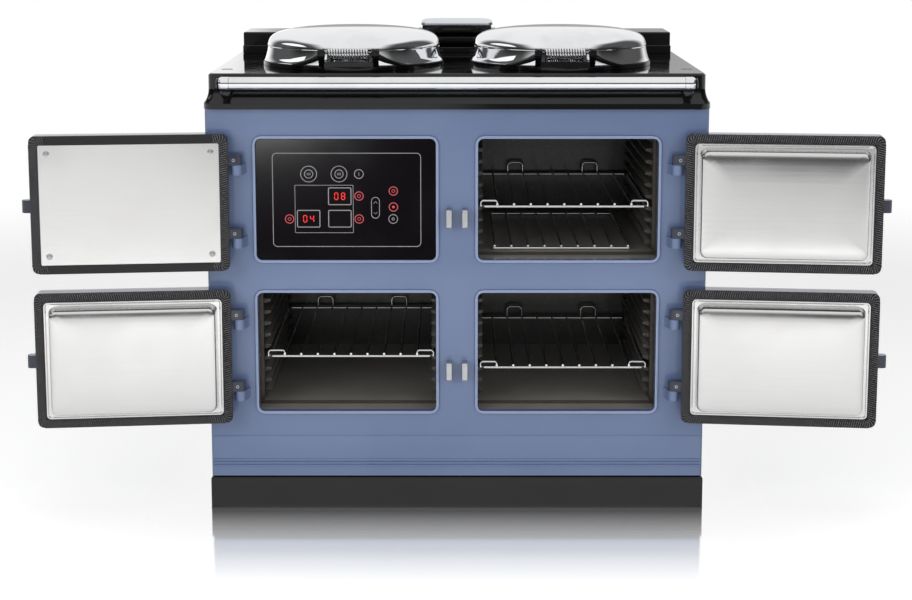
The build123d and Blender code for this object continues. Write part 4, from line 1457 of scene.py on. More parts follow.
@dataclass
class Lid:
    """A domed lid with its wound grip, about its own middle on the plate."""

    cooker: Cooker
    name: str
    x: float
    y: float = HOTPLATE_Y
    grip_y: float = -205.0
    grip_z: float = 911.9
    grip_length: float = 92.0
    grip_turns: int = 15
    turn_points: int = 30
    grip_wire: float = 4.4
    grip_end: float = 7.0
    grip_middle: float = 11.0
    knob_x: float = 52.5
    knob_profile: Profile = ((0, -9.2), (6.0, -9.2), (7.8, -7.6), (8.2, -5.0), (8.2, 5.0), (7.8, 7.6),
                             (6.0, 9.2), (3.2, 9.2), (2.6, 8.4), (0, 8.4))
    arm_path: tuple[Point, ...] = ((50.0, -203.0, 909.0), (60.0, -197.5, 903.0), (72.0, -190.0, 897.0),
                                   (86.0, -178.5, 891.5), (101.0, -164.5, 887.0), (114.0, -149.5, 884.5))
    arm_radius: float = 5.4
    arm_swell: tuple[float, ...] = (1.25, 1.2, 1.05, 0.9, 0.7, 0.4)
    dome: Profile = (
        (0, 883.75), (181.0, 883.75), (183.4, 884.0), (183.9, 884.9), (183.4, 886.2), (182.4, 887.4),
        (180.2, 894.5), (178.3, 901.5), (176.9, 908.5), (176.3, 912.4), (174.7, 913.4), (174.7, 914.4),
        (176.2, 914.9), (176.9, 916.2), (176.5, 919.4), (175.1, 924.0), (172.8, 928.4), (169.6, 932.4),
        (165.4, 935.9), (160.0, 938.9), (153.0, 941.6), (143.0, 944.3), (130.0, 946.7), (112.0, 949.0),
        (90.0, 950.9), (62.0, 952.2), (32.0, 952.95), (0, 953.15))

    def build(self) -> None:
        """Makes the lid's pieces."""
        place, body = at(self.x, self.y, 0), f"lid_{self.name}"
        cover = moved(smooth(lathe(f"{body}_dome", self.dome, 160), 28.0), place)
        self.cooker.hand_over(cover, body, DOME, f"{body}_cover", True)
        frame = self.cooker.cast(f"{body}_frame", f"{body}_casting", 1.6, 3)
        self.cooker.hand_over(frame, body, BLACK, f"{body}_frame", True)
        self.cooker.hand_over(moved(self.arms(), place), body, BLACK, f"{body}_frame")
        self.cooker.hand_over(moved(self.coil(), place), body, WIRE, f"{body}_handle_coil", True)

    def coil(self) -> bpy.types.Object:
        """Winds the grip: one wire whose turns swell to the middle.

        Returns:
            The winding.
        """
        span = self.grip_length - 3 * self.grip_wire
        end, middle = self.grip_end - self.grip_wire / 2, self.grip_middle - self.grip_wire / 2
        route = []
        for i in range(self.grip_turns * self.turn_points + 1):
            turn = i / self.turn_points
            x = span * (turn / self.grip_turns - 0.5)
            radius = end + (middle - end) * (1 - (2 * x / self.grip_length) ** 2)
            route.append(Vector((x, self.grip_y + radius * cos(tau * turn),
                                 self.grip_z + radius * sin(tau * turn))) * MM)
        reach = (self.grip_length / 2 - 0.3) * MM
        first, last = (Vector((side * reach, route[i].y, route[i].z)) for i, side in ((0, -1), (-1, 1)))
        return wire(f"lid_{self.name}_winding", [first, *route, last], self.grip_wire / 2)

    def arms(self) -> bpy.types.Object:
        """Makes round knobs at the grip's ends, and arms that sweep out and down to the base.

        Returns:
            The knobs and arms.
        """
        pieces = []
        for side in (-1, 1):
            knob = lathe("knob", self.knob_profile, 32)
            moved(knob, at(side * self.knob_x, self.grip_y, self.grip_z + 0.6) @ FACING_FRONT)
            route = [Vector((side * x, y, z)) * MM for x, y, z in self.arm_path]
            pieces += [smooth(knob), wire("arm", route, self.arm_radius, swell=self.arm_swell)]
        return joined(f"lid_{self.name}_arms", pieces)


@dataclass
class Hinges:
    """Brackets and pins behind the lids."""

    cooker: Cooker

    def build(self) -> None:
        """Rounds the brackets' edges."""
        brackets = self.cooker.cast("lid_hinge_brackets", "lid_hinge_brackets_chrome", 0.8, 3)
        self.cooker.hand_over(brackets, "cooker", CHROME, "lid_hinge_brackets", True)


@dataclass
class Ovens:
    """The ovens, their wire shelves and the floor grid."""

    cooker: Cooker
    centre: float = 214.0
    mouth: float = OVEN_MOUTH
    half: float = 167.0
    depth: float = 461.0
    shelf_gap: float = 5.0
    bar: float = 3.0
    rod: float = 2.3
    sunk: float = 0.6
    pitch: float = 33.4
    rods: int = 9
    loop_height: float = 26.0
    stop_height: float = 12.0
    shelves: dict[str, tuple[int, float]] = field(default_factory=lambda: {
        "upper_right": (1, 603.8), "lower_left": (-1, 297.8), "lower_right": (1, 274.3)})
    grid_place: Point = (209.5, -244.0, 516.8)
    grid_depth: float = 430.0

    def build(self) -> None:
        """Makes the ovens' pieces."""
        for node, (side, height) in self.shelves.items():
            self.cooker.keep(f"oven_{node}", OVEN)
            place = at(side * self.centre, self.mouth + self.shelf_gap, height)
            shelf = moved(self.shelf(f"shelf_{node}_wire"), place)
            self.cooker.hand_over(shelf, f"shelf_{node}", WIRE, f"shelf_{node}", True)
        grid = moved(self.grid(), at(*self.grid_place))
        self.cooker.hand_over(grid, "floor_grid", WIRE, "floor_grid", True)

    def places(self) -> list[float]:
        """Where the rods lie across."""
        return [self.pitch * (i - (self.rods - 1) / 2) for i in range(self.rods)]

    def lines(self, depth: float) -> list[bpy.types.Object]:
        """Makes the rods, which run front to rear on top of the bars.

        Args:
            depth: How far the bars lie apart, in millimetres.

        Returns:
            The rods.
        """
        top = self.bar + self.rod - self.sunk
        return [wire("rod", [Vector((x, y, top)) * MM for y in (-self.bar, depth + self.bar)], self.rod)
                for x in self.places()]

    def shelf(self, name: str) -> bpy.types.Object:
        """Makes a wire shelf: a bent frame, rods, two loops at the rear and stops at the front.

        Args:
            name: The shelf's name.

        Returns:
            The shelf.
        """
        half, depth, rise, places = self.half, self.depth, self.loop_height, self.places()
        ring = [(-half, 0, 0), (half, 0, 0), (half, depth, 0), (-half, depth, 0)]
        pieces = [wire("frame", turning(ring, 9.0, True, 6), self.bar, True), *self.lines(depth)]
        for first in (1, self.rods - 3):
            x0, x1 = places[first:first + 2]
            loop = [(x0, depth, 0), (x0, depth, rise), (x1, depth, rise), (x1, depth, 0)]
            pieces.append(wire("loop", turning(loop, 8.0), self.rod))
        for x0, x1 in ((-half, places[0]), (places[-1], half)):
            stop = [(x0, 0, 0), (x0, 0, self.stop_height), (x1, 0, self.stop_height), (x1, 0, 0)]
            pieces.append(wire("stop", turning(stop, 5.0), self.rod))
        return joined(name, pieces)

    def grid(self) -> bpy.types.Object:
        """Makes the low grid on the oven's floor.

        Returns:
            The grid.
        """
        half = (self.rods - 1) / 2 * self.pitch + self.rod
        bars = [wire("bar", [Vector((x, y, 0)) * MM for x in (-half, half)], self.bar)
                for y in (0, self.grid_depth)]
        return joined("floor_grid_wire", [*bars, *self.lines(self.grid_depth)])


@dataclass
class ControlPanel:
    """The black glass, its printed lines and lit displays, and what is behind it.

    The marks lie on the panel's own grid, whose axes run across and down, in units of scale millimetres.
    """

    cooker: Cooker
    x: float = -OPENING_X
    z: float = UPPER
    width: float = 351.0
    height: float = 239.0
    corner: float = 11.0
    front: float = -321.0
    thickness: float = 4.0
    line: float = 1.1
    fine_line: float = 0.8
    bold_line: float = 1.4
    scale: float = 1.9785
    middle: tuple[float, float] = (347.6, 196.6)
    border: tuple[float, ...] = (275, 422, 150, 244, 4.4)
    cluster: tuple[float, ...] = (297, 355, 182, 230, 0.6)
    pill: tuple[float, ...] = (372.6, 381, 194, 215.5, 4.1)
    sign: tuple[float, ...] = (360.2, 361.0, 169.4, 172.6, 0.35, 0.35)
    windows: tuple[tuple[float, ...], ...] = ((330, 353, 184.5, 202), (299, 322, 207, 224.5),
                                              (330, 353, 207, 224.5))
    arrows: tuple[tuple[float, float, int], ...] = ((376.8, 199.4, 1), (376.8, 210.2, -1))
    dials: tuple[tuple[float, float], ...] = ((311, 171), (341, 171))
    keys: tuple[tuple[float, float], ...] = ((360.6, 171), (394.3, 216))
    red_spots: tuple[tuple[float, float], ...] = ((360.6, 193), (360.6, 216), (291.6, 216), (394.6, 188),
                                                  (394.6, 204))
    readings: tuple[tuple[float, float, str], ...] = ((341.5, 193.2, "08"), (310.5, 215.8, "04"))
    digit_pitch: float = 9.4
    digit_size: float = 0.72
    bar_length: float = 3.6
    bar_width: float = 0.9

    def build(self) -> None:
        """Makes the panel's pieces."""
        slab = plate("control_glass_panel", self.width, self.height, self.corner, self.thickness, 8)
        glass = moved(eased(slab, 0.5, 3), at(self.x, self.front + self.thickness, self.z) @ FACING_FRONT)
        self.cooker.hand_over(glass, "cooker", GLASS, "control_glass", True)
        self.cooker.keep("control_housing", ZINC)
        self.cooker.keep("control_board", LAMINATE)
        self.cooker.hand_over(self.lines(), "cooker", INK, "control_glass")
        self.cooker.hand_over(self.red_rings(), "cooker", LAMP_RING, "control_glass")
        self.cooker.hand_over(self.digits(), "cooker", LAMP, "control_glass")

    def spot(self, across: float, down: float) -> Matrix:
        """Finds a place on the glass.

        Args:
            across: The place's distance across on the panel's grid.
            down: Its distance down.

        Returns:
            The drawing plane's move to that place.
        """
        x = self.x + (across - self.middle[0]) * self.scale
        z = self.z - (down - self.middle[1]) * self.scale
        return at(x, self.front + 0.05, z) @ FACING_FRONT

    def ring(self, across: float, down: float, radius: float, line: float = 0.0) -> bpy.types.Object:
        """Prints a ring.

        Args:
            across: Its middle's distance across on the panel's grid.
            down: Its middle's distance down.
            radius: Its radius in the grid's units.
            line: The line's width in millimetres, if it isn't the usual one.

        Returns:
            The ring.
        """
        middle, half = radius * self.scale, (line or self.line) / 2
        inner, outer = middle - half, middle + half
        mark = lathe("ring", [(inner, 0), (outer, 0), (outer, INK_RISE), (inner, INK_RISE), (inner, 0)], 40)
        return moved(mark, self.spot(across, down))

    def frame(self, left: float, right: float, top: float, bottom: float, corner: float,
              line: float = 0.0) -> bpy.types.Object:
        """Prints a frame between four lines of the panel's grid.

        Args:
            left: The line at its left.
            right: The line at its right.
            top: The line at its top.
            bottom: The line at its bottom.
            corner: The radius of its corners in the grid's units.
            line: Its own line's width in millimetres, if it isn't the usual one.

        Returns:
            The frame.
        """
        width, height = (right - left) * self.scale, (bottom - top) * self.scale
        mark = strip("frame", width, height, corner * self.scale, line or self.line)
        return moved(mark, self.spot((left + right) / 2, (top + bottom) / 2))

    def chevron(self, across: float, down: float, up: int) -> bpy.types.Object:
        """Prints a small arrow head.

        Args:
            across: Its middle's distance across on the panel's grid.
            down: Its middle's distance down.
            up: 1 if it points up, -1 if down.

        Returns:
            The arrow head.
        """
        points = [(-1.7, -0.9 * up, 0), (0, 0.9 * up, 0), (1.7, -0.9 * up, 0)]
        route = [Vector(point) * self.scale * MM for point in points]
        return moved(wire("chevron", route, 0.45, sides=1), self.spot(across, down))

    def lines(self) -> bpy.types.Object:
        """Prints the grey lines: frames, rings, the pill with its arrows and small signs.

        Returns:
            The lines.
        """
        marks = [self.frame(*self.border), self.frame(*self.cluster, self.fine_line)]
        marks += [self.frame(*window, 1.4, self.bold_line) for window in self.windows]
        marks.append(self.frame(*self.pill))
        marks += [self.chevron(*arrow) for arrow in self.arrows]
        for across, down in self.dials:
            marks += [self.ring(across, down, 7.9), self.ring(across, down, 4.1)]
            marks.append(self.frame(across - 1.7, across + 1.7, down - 1, down + 1, 0.6, 0.7))
        marks += [self.ring(*key, 4.4) for key in self.keys]
        marks.append(self.frame(*self.sign))
        marks.append(self.ring(*self.keys[1], 1.2, 0.9))
        return joined("control_glass_lines", marks)

    def red_rings(self) -> bpy.types.Object:
        """Prints the red rings round the touch points, the last with a dot in it.

        Returns:
            The rings.
        """
        marks = [self.ring(*spot, 4.2, 1.5) for spot in self.red_spots]
        marks += [self.ring(*spot, 1.5, 1.0) for spot in self.red_spots[:-1]]
        dot = lathe("dot", [(0, 0), (2.6, 0), (2.6, INK_RISE), (0, INK_RISE)], 24)
        marks.append(moved(dot, self.spot(*self.red_spots[-1])))
        return joined("control_glass_rings", marks)

    def digits(self) -> bpy.types.Object:
        """Lights two numbers of seven bars a digit.

        Returns:
            The bars that are lit.
        """
        bars = {"a": (0, 4.6, True), "b": (2.3, 2.3, False), "c": (2.3, -2.3, False), "d": (0, -4.6, True),
                "e": (-2.3, -2.3, False), "f": (-2.3, 2.3, False), "g": (0, 0, True)}
        numbers = {"0": "abcdef", "8": "abcdefg", "4": "bcfg"}
        length, width, corner = (size * self.scale for size in (self.bar_length, self.bar_width, 0.42))
        squeezed = Matrix.Diagonal((self.digit_size, self.digit_size, 1, 1))
        marks = []
        for across, down, text in self.readings:
            for i, bar in ((i, bar) for i, number in enumerate(text) for bar in numbers[number]):
                x, y, lying = bars[bar]
                mark = plate("bar", *((length, width) if lying else (width, length)), corner, INK_RISE, 2)
                shift = at((x + (i - 0.5) * self.digit_pitch) * self.scale, y * self.scale, 0)
                marks.append(moved(mark, self.spot(across, down) @ squeezed @ shift))
        return joined("control_glass_digits", marks)


@dataclass
class Door:
    """A door, modelled closed about its hinge axis and then swung open."""

    cooker: Cooker
    name: str
    side: int
    height: float
    plain: bool = False
    hinge_x: float = HINGE_X
    hinge_y: float = HINGE_Y
    open_angle: float = OPEN_ANGLE
    middle: float = -205.0
    inside: float = 12.0
    gap: float = 0.3
    seal_width: float = 17.5
    seal_rise: float = 6.4
    seal_size: tuple[float, float] = (379.0, 269.0)
    seal_corner: float = 9.5
    seal_turn: float = 22.0
    rope_step: float = 1.35
    rope_sides: int = 18
    braid_pitch: float = 4.3
    braid_wide: Span = (-1.0, 0.9)
    braid_tall: Span = (-0.9, 0.85)
    gasket_rise: float = 4.6
    pan_size: tuple[float, float] = (343.0, 233.0)
    sheet_thickness: float = 4.0
    screw_inset: Span = (16.0, 17.0)
    block_margin: float = 18.0
    block_steps: Profile = ((1.3, 8.0), (2.5, 15.4), (0.5, 1.7), (0.9, 1.4), (1.4, 1.0), (2.0, 0.75),
                            (4.0, 0.75), (7.0, 0.6), (10.0, 0.4), (14.0, 0.25), (18.0, 0.1))
    grubs: tuple[Point, ...] = ((-6.0, 10.8, -62.0), (-6.0, 10.8, 82.0))
    grub_profile: Profile = ((0, -1.4), (1.5, -1.4), (1.9, 0), (3.2, 0), (3.2, 0.4), (2.8, 0.7), (1.9, 0.7),
                             (1.5, -1.0), (0, -1.0))
    grip_x: float = -288.0
    grip_y: float = -52.0
    grip_half: float = 37.5
    grip_wire: float = 4.0
    grip_turns: int = 16
    turn_points: int = 26
    grip_end: float = 6.2
    grip_swell: float = 2.6
    core_radius: float = 4.0
    core_end: float = 3.0
    post_foot: float = -25.3
    post_x: float = 40.0
    head_profile: Profile = ((0, -5.6), (5.2, -5.6), (6.0, -4.4), (6.2, 0), (6.0, 4.4), (5.2, 5.6), (0, 5.6))

    def place(self) -> Matrix:
        """The move from the closed drawing to the open door."""
        turn = Matrix.Rotation(radians(self.open_angle), 4, "Z")
        return Matrix.Diagonal((self.side, 1, 1, 1)) @ at(self.hinge_x, self.hinge_y, self.height) @ turn

    def build(self) -> None:
        """Makes the door's pieces."""
        body = f"door_{self.name}"
        hand, place = self.cooker.hand_over, self.place()
        hand(self.cooker.cast(f"{body}_shell", f"{body}_enamel", 2.2, 3), body, DOOR, f"{body}_shell", True)
        for i, rope in enumerate(self.ropes()):
            hand(moved(rope, place), body, ROPE, f"{body}_seal", i == 0)
        if self.plain:
            hand(moved(self.gaskets(), place), body, GASKET, f"{body}_seal")
            hand(moved(self.sheet(), place), body, SHEET, f"{body}_liner", True)
            hand(moved(self.sheet_screws(), place), body, SCREW, f"{body}_liner")
        else:
            hand(moved(self.pan(), place), body, PAN, f"{body}_liner", True)
        hand(moved(self.grip(), place), body, WIRE, f"{body}_handle", True)
        hand(moved(self.posts(), place), body, BLACK, f"{body}_handle")
        hand(moved(self.hinge_screws(), place), body, SCREW, f"{body}_shell")

    def inward(self, rise: float = 0.0) -> Matrix:
        """The drawing plane on the door's inside, just clear of it, with its back at a rise above that."""
        return at(self.middle, self.inside + self.gap + rise, 0) @ FACING_REAR

    def pan(self) -> bpy.types.Object:
        """Makes the pressed pan: a rolled rim, a step and a tapered block with soft shoulders.

        Returns:
            The pan.
        """
        rim = plate(f"door_{self.name}_pan", *self.pan_size, 8.5, 4.0, 8)
        with editing(rim):
            choose(rim, Part.FACES, lambda middle, normal: normal.z > SQUARE_ON)
            for inset, rise in ((3.2, 0), (1.0, -1.6), (2.0, 0)):
                bpy.ops.mesh.inset(thickness=inset * MM, depth=rise * MM)
        rim = eased(rim, 1.0, 3)
        width, height = (size - self.block_margin for size in self.pan_size)
        block = crowned(plate("pan_block", width, height, 14.0, 2.4, 10), width, height, self.block_steps)
        return moved(joined(f"door_{self.name}_pan", [rim, smooth(block, 60.0)]), self.inward())

    def sheet(self) -> bpy.types.Object:
        """The flat panel of the door that covers the controls."""
        sheet = plate(f"door_{self.name}_sheet", *self.pan_size, 3.0, self.sheet_thickness, 4)
        return moved(eased(sheet, 0.5), self.inward())

    def sheet_screws(self) -> bpy.types.Object:
        """Makes four screws with washers near the sheet's corners.

        Returns:
            The screws.
        """
        x, z = (size / 2 - inset for size, inset in zip(self.pan_size, self.screw_inset))
        washer = lathe("washer", [(0, 0), (6.2, 0), (6.2, 0.7), (5.6, 1.0), (0, 1.0)], 28)
        head = moved(screw("head", 4.2, 2.4), at(0, 0, 0.9))
        one = joined("screw_and_washer", [smooth(washer), head])
        places = [self.inward(self.sheet_thickness) @ at(across, up, 0)
                  for across in (-x, x) for up in (-z, z)]
        return repeated(f"door_{self.name}_sheet_screws", one, places)

    def gaskets(self) -> bpy.types.Object:
        """Makes flat black strips along the top and bottom of the control door's inside.

        Returns:
            The strips.
        """
        width, height = (size - self.seal_width for size in self.seal_size)
        strips = []
        for end in (-1, 1):
            bar = plate("bar", width - self.seal_width - 6, self.seal_width - 1.0, 1.0, self.gasket_rise, 2)
            strips.append(moved(eased(bar, 0.8), self.inward() @ at(0, end * height / 2, 0)))
        return joined(f"door_{self.name}_gaskets", strips)

    def ropes(self) -> list[bpy.types.Object]:
        """Makes the rope seal: a ring, or on the control door one length down each side.

        Returns:
            The ring, or the two lengths.
        """
        half_x, half_z = ((size - self.seal_width) / 2 for size in self.seal_size)
        y = self.inside + self.gap + self.seal_rise / 2
        if not self.plain:
            ring = [(-half_x, y, -half_z), (half_x, y, -half_z), (half_x, y, half_z), (-half_x, y, half_z)]
            return [self.rope(f"door_{self.name}_rope", ring, True)]
        start = half_x - self.seal_turn
        return [self.rope(f"door_{self.name}_rope_{label}", [
                    (end * start, y, -half_z), (end * half_x, y, -half_z), (end * half_x, y, half_z),
                    (end * start, y, half_z)], False) for end, label in ((-1, "free"), (1, "hinge"))]

    def rope(self, name: str, path: Sequence[Point], closed: bool) -> bpy.types.Object:
        """A flattened rope whose strands cross in a herringbone.

        Args:
            name: The object's name.
            path: Corners of its middle line, about the door's middle.
            closed: Whether it runs in a ring.

        Returns:
            The rope, with a map along and around it and the height of its strands.
        """
        corners = turning([(x + self.middle, y, z) for x, y, z in path], self.seal_corner, closed, 10)
        places = self.spaced(corners, self.rope_step * MM, closed)
        count, sides = len(places), self.rope_sides
        mesh, rings = bmesh.new(), []
        uv, strand = mesh.loops.layers.uv.new("rope"), mesh.verts.layers.float.new("strand")
        for i, place in enumerate(places):
            before = places[i - 1] if closed or i else place
            after = places[(i + 1) % count] if closed or i < count - 1 else place
            across = (after - before).normalized().cross(Vector((0, 1, 0)))
            rings.append([])
            for j in range(sides):
                point, weave = self.strand_point(i, j)
                corner = mesh.verts.new(place + (across * point[0] + Vector((0, point[1], 0))) * MM)
                corner[strand] = weave
                rings[-1].append(corner)
        for i in range(count if closed else count - 1):
            for j in range(sides):
                ends = ((i, j), (i, j + 1), (i + 1, j + 1), (i + 1, j))
                face = mesh.faces.new([rings[a % count][b % sides] for a, b in ends])
                for loop, (a, b) in zip(face.loops, ends):
                    loop[uv].uv = (a * self.rope_step * MM, b / sides)
        if not closed:
            for end in (rings[0], rings[-1]):
                mesh.faces.new(end)
        data = bpy.data.meshes.new(name)
        mesh.to_mesh(data)
        mesh.free()
        piece = bpy.data.objects.new(name, data)
        bpy.context.scene.collection.objects.link(piece)
        return smooth(outward(piece), 80.0)

    def strand_point(self, i: int, j: int) -> tuple[tuple[float, float], float]:
        """Finds a point of the rope's section, which the strands raise where they cross.

        Args:
            i: The section's number along the rope.
            j: The point's number round it.

        Returns:
            The point's distances across and up in millimetres, and the strands' height from 0 to 1.
        """
        share = j / self.rope_sides
        run = i * self.rope_step / self.braid_pitch + abs(share - 0.75) * 4.0
        weave = (sin(tau * run) * 0.5 + 0.5) ** 0.8
        x, y = cos(tau * share), sin(tau * share)
        wide, tall = (size / 2 + low + rise * weave for size, (low, rise) in (
            (self.seal_width, self.braid_wide), (self.seal_rise, self.braid_tall)))
        return (abs(x) ** 0.7 * (1 if x > 0 else -1) * wide, y * tall), weave

    @staticmethod
    def spaced(route: Sequence[Vector], step: float, closed: bool) -> list[Vector]:
        """Spaces points evenly along a route.

        Args:
            route: Its corners, in metres.
            step: About how far the points are to lie apart, in metres.
            closed: Whether the last corner leads back to the first.

        Returns:
            The points.
        """
        runs = [*route, route[0]] if closed else list(route)
        lengths = [(b - a).length for a, b in zip(runs, runs[1:])]
        count = max(2, round(sum(lengths) / step))
        points, run, passed = [], 0, 0.0
        for i in range(count if closed else count + 1):
            target = sum(lengths) * i / count
            while run < len(lengths) - 1 and passed + lengths[run] < target:
                passed += lengths[run]
                run += 1
            points.append(runs[run].lerp(runs[run + 1], (target - passed) / lengths[run]))
        return points

    def grip(self) -> bpy.types.Object:
        """Winds the grip on the door's outside, which swells to its middle.

        Returns:
            The winding and its core.
        """
        half = self.grip_half
        route = []
        for i in range(self.grip_turns * self.turn_points + 1):
            turn = i / self.turn_points
            x = half * (2 * turn / self.grip_turns - 1)
            radius = self.grip_end + self.grip_swell * (1 - (x / half) ** 2)
            route.append(Vector((self.grip_x + x, self.grip_y + radius * cos(tau * turn),
                                 radius * sin(tau * turn))) * MM)
        r, end = self.core_radius, half + self.core_end
        core = lathe("core", [(0, -end), (r, -end), (r, end), (0, end)], 24)
        moved(core, at(self.grip_x, self.grip_y, 0) @ ALONG_X)
        return joined(f"door_{self.name}_grip", [wire("winding", route, self.grip_wire / 2), smooth(core)])

    def posts(self) -> bpy.types.Object:
        """Turns two posts with round heads that hold the grip.

        Returns:
            The posts.
        """
        foot, rise = self.post_foot, self.post_foot - self.grip_y
        profile = [(0, 0), (7.6, 0), (7.6, 1.6), (6.2, 3.2), (4.8, 6.5), (4.6, rise - 8), (5.6, rise - 4),
                   (6.0, rise), (5.2, rise + 4), (3.0, rise + 5.8), (0, rise + 6)]
        posts = []
        for end in (-1, 1):
            x = self.grip_x + end * self.post_x
            stem = moved(lathe("stem", profile, 28), at(x, foot, 0) @ FACING_FRONT)
            head = moved(lathe("head", self.head_profile, 28), at(x, self.grip_y, 0) @ ALONG_X)
            posts += [smooth(stem), smooth(head)]
        return joined(f"door_{self.name}_posts", posts)

    def hinge_screws(self) -> bpy.types.Object:
        """Turns a grub screw for each of the door's hinge lugs, on the side that faces out when it is open.

        Returns:
            The screws.
        """
        head = lathe("grub", self.grub_profile, 18)
        places = [at(*place) @ FACING_REAR for place in self.grubs]
        return smooth(repeated(f"door_{self.name}_grub_screws", head, places))


@dataclass
class Fittings:
    """Door catches, and the terminal box with its gland."""

    cooker: Cooker
    box_x: float = 330.0
    box_z: float = 190.0
    box_rear: float = 366.0
    screw_x: float = 56.0
    screw_z: float = 38.0
    gland_rear: float = 382.0
    gland_profile: Profile = ((7.0, 0), (11.6, 0), (12.2, -0.8), (12.2, -15.0), (15.0, -15.2), (7.0, -15.0),
                              (7.0, 0))

    def build(self) -> None:
        """Makes the fittings' pieces."""
        hand, cast = self.cooker.hand_over, self.cooker.cast
        hand(cast("door_catches", "door_catches_chrome", 3.0, 5), "cooker", PLATED, "door_catches", True)
        hand(cast("terminal_box", "terminal_box_sheet", 0.7), "cooker", ZINC, "terminal_box", True)
        places = [at(self.box_x + x, self.box_rear, self.box_z + z) @ FACING_REAR
                  for x in (-self.screw_x, self.screw_x) for z in (-self.screw_z, self.screw_z)]
        head = screw("terminal_box_screws", 3.6, 2.2)
        hand(repeated("terminal_box_screws", head, places), "cooker", SCREW, "terminal_box")
        ring = lathe("gland_ring", self.gland_profile, 36)
        moved(ring, at(self.box_x, self.gland_rear, self.box_z) @ FACING_REAR)
        hand(smooth(ring), "cooker", NYLON, "terminal_box")


# Studio
@dataclass(frozen=True)
class FloorPaper(Finish):
    """The studio's pale floor, with a mirror image that fades beside and before the cooker.

    Lengths are in metres. Past the edge the floor is plain light, white to the camera and with its own glow
    in gloss and in soft light. The gloss sees it darker toward the front at the right.
    """

    half_width: float = 0.49
    half_depth: float = 0.32
    image_fade: float = 2.1
    image_most: float = 0.95
    glow: Span = (0.2, 0.25)
    edge: Span = (2.2, 4.2)
    right: Span = (-0.2, 0.3)
    front: Span = (4.9, 6.6)
    far_glow: Span = (0.97, 0.06)
    far_shade: float = 0.8

    def shade(self, tree: Tree) -> None:
        """Adds the floor's shaders.

        Args:
            tree: The material's node tree.
        """
        seen, lit = tree.rays()
        x, y, _ = tree.parts(tree.place())
        beside = (x.size() - self.half_width).join("MAXIMUM", 0.0)
        before = (y.size() - self.half_depth).join("MAXIMUM", 0.0)
        gap = (beside * beside + before * before) ** 0.5
        image = (1.0 - gap * self.image_fade).join("MAXIMUM", 0.0).join("MINIMUM", self.image_most)
        mist = tree.noise(tree.place(), 2.0, 2.0)
        tone = tree.blend(mist, (0.80, 0.80, 0.80), (0.82, 0.82, 0.82))
        diffuse = tree.node("ShaderNodeBsdfDiffuse", {}, {"Color": tone})
        glow = self.glow[0] * lit + self.glow[1] * seen
        lifted = tree.node("ShaderNodeEmission", {}, {"Color": WHITE, "Strength": glow})
        near = tree.node("ShaderNodeAddShader", {}, {0: diffuse, 1: lifted})
        mirror = tree.node("ShaderNodeBsdfGlossy", {}, {"Color": WHITE, "Roughness": 0.08})
        near = tree.node("ShaderNodeMixShader", {}, {0: image, 1: near, 2: mirror})
        in_gloss, in_light = self.far_glow
        faded = x.ease(*self.right) * (-1.0 * y).ease(*self.front)
        strength = seen + (1.0 - seen) * (lit * (in_gloss - self.far_shade * faded) + (1.0 - lit) * in_light)
        far = tree.node("ShaderNodeEmission", {}, {"Color": WHITE, "Strength": strength})
        away = ((x * x + y * y) ** 0.5).ease(*self.edge)
        mixed = tree.node("ShaderNodeMixShader", {}, {0: away, 1: near, 2: far})
        tree.node("ShaderNodeOutputMaterial", {}, {"Surface": mixed})


@dataclass(frozen=True)
class Room:
    """White to the camera, a room in the metal's gloss, and an even soft light for the rest.

    The pairs are ranges on the parts of the direction that is looked in: x to the right, y away, z up.
    In them the room turns to its front, to the dark band low in front, to the dim sides and to the backdrop
    low behind, which is brighter toward both of its ends.
    """

    front: Span = (-0.1, 0.3)
    low: Span = (0.08, 0.42)
    side: Span = (0.55, 0.8)
    side_top: Span = (0.6, 0.8)
    behind: Span = (0.8, 0.94)
    horizon: Span = (0.088, 0.1)
    backdrop_left: Span = (0.085, 0.125)
    backdrop_right: Span = (0.06, 0.2)
    window_edge: float = 0.86
    window: Span = (0.3, 0.5)
    dark: float = 0.9
    bright: float = 0.92
    backdrop: tuple[float, float, float] = (0.4, 0.85, 0.1)
    window_glow: float = 1.1
    fill: float = 0.34

    def light(self, tree: Tree) -> None:
        """Adds the world's shaders.

        Args:
            tree: The world's node tree.
        """
        seen, lit = tree.rays()
        x, y, z = tree.parts(tree.node("ShaderNodeTexCoord", output="Generated"))
        front = (-1.0 * y).ease(*self.front)
        low = front * (1.0 - z.ease(*self.low))
        behind = y.ease(*self.behind) * (1.0 - z.ease(*self.horizon))
        middle, left, right = self.backdrop
        backdrop = middle + left * (-1.0 * x).ease(*self.backdrop_left) + right * x.ease(*self.backdrop_right)
        side = x.size().ease(*self.side) * (1.0 - z.ease(*self.side_top))
        sill, head = self.window
        window = (-1.0 * x).above(self.window_edge) * z.above(sill) * (1.0 - z.above(head))
        room = (1.0 - self.dark * low) * (1.0 - self.dark * side) * self.bright + self.window_glow * window
        room = room * (1.0 - behind) + backdrop * behind
        strength = seen + (1.0 - seen) * lit * room + (1.0 - lit) * self.fill
        back = tree.node("ShaderNodeBackground", {}, {"Color": WHITE, "Strength": strength})
        tree.node("ShaderNodeOutputWorld", {}, {"Surface": back})


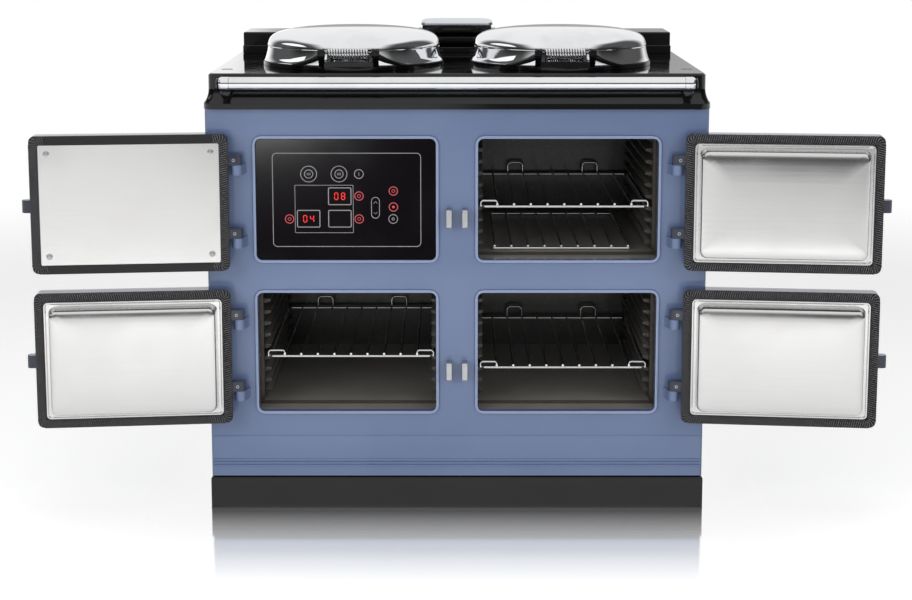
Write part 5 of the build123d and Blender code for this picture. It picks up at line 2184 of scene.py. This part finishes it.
@dataclass(frozen=True)
class SoftBox:
    """A lamp with a soft face, sized and placed in metres; it lights all, or the one object it names."""

    name: str
    place: Point
    aim: Point
    size: tuple[float, float]
    energy: float
    lights: str = ""

    def hang(self) -> None:
        """Hangs the lamp; only one that lights a single object shows in gloss."""
        data = bpy.data.lights.new(self.name, "AREA")
        data.shape = "RECTANGLE"
        data.size, data.size_y = self.size
        data.energy = self.energy
        lamp = bpy.data.objects.new(self.name, data)
        lamp.location = self.place
        lamp.rotation_euler = (Vector(self.aim) - Vector(self.place)).to_track_quat("-Z", "Y").to_euler()
        lamp.visible_camera = False
        lamp.visible_glossy = bool(self.lights)
        bpy.context.scene.collection.objects.link(lamp)
        if self.lights:
            lit = bpy.data.collections.new(f"{self.name}_lights")
            lit.objects.link(bpy.data.objects[self.lights])
            lamp.light_linking.receiver_collection = lit


@dataclass
class Studio:
    """Floor, light and camera, in metres."""

    floor_size: float = 24.0
    place: Point = (-0.0019, -3.885, 1.184)
    tilt: float = 9.16
    focal: float = 1842.0
    image_width: float = 912.0
    film: float = 36.0
    shift: float = -0.10
    boxes: tuple[SoftBox, ...] = (
        SoftBox("lamp_top", (0.0, -0.7, 3.4), (0, -0.1, 0.4), (3.2, 2.2), 32.0),
        SoftBox("lamp_left", (-2.6, -3.4, 2.1), (0, 0, 0.5), (2.2, 2.2), 60.0),
        SoftBox("lamp_right", (2.6, -3.4, 2.1), (0, 0, 0.5), (2.2, 2.2), 42.0),
        SoftBox("lamp_low", (0.0, -2.8, 0.6), (0, -0.3, 0.1), (2.6, 0.5), 20.0),
        SoftBox("lamp_glass", (-0.85, -3.9, 0.56), (-0.36, -0.3, 0.73), (0.6, 0.42), 90.0,
                "control_glass_panel"))

    def build(self) -> None:
        """Makes the studio."""
        self.floor()
        self.world()
        for soft_box in self.boxes:
            soft_box.hang()
        self.camera()
        bpy.context.scene.view_settings.view_transform = "Standard"

    def floor(self) -> None:
        """The pale floor under the cooker."""
        bpy.ops.mesh.primitive_plane_add(size=self.floor_size)
        floor = latest("studio_floor")
        floor.data.materials.append(FloorPaper("floor_white").material())

    def world(self) -> None:
        """The room round the cooker."""
        world = bpy.data.worlds.new("studio_white")
        bpy.context.scene.world = world
        world.use_nodes = True
        Room().light(Tree(world.node_tree))

    def camera(self) -> None:
        """The photograph's view: square on, from above the hob."""
        data = bpy.data.cameras.new("camera")
        data.sensor_width = self.film
        data.lens = self.focal / self.image_width * self.film
        data.shift_y = self.shift
        camera = bpy.data.objects.new("camera", data)
        camera.location = self.place
        camera.rotation_euler = (radians(90 - self.tilt), 0, 0)
        bpy.context.scene.collection.objects.link(camera)
        bpy.context.scene.camera = camera


def main() -> None:
    """Loads the frame, dresses the cooker and sets the studio."""
    logging.basicConfig(level=logging.INFO, format="%(name)s: %(message)s")
    cooker = Cooker(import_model())
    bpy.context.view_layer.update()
    Carcase(cooker).build()
    Hob(cooker).build()
    Hinges(cooker).build()
    for name, x in (("left", -HOTPLATE_X), ("right", HOTPLATE_X)):
        Lid(cooker, name, x).build()
    Ovens(cooker).build()
    ControlPanel(cooker).build()
    for level, height in (("upper", UPPER), ("lower", LOWER)):
        for hand, side in (("left", -1), ("right", 1)):
            Door(cooker, f"{level}_{hand}", side, height, plain=(level, hand) == ("upper", "left")).build()
    Fittings(cooker).build()
    Studio().build()


if __name__ == "__main__":
    main()
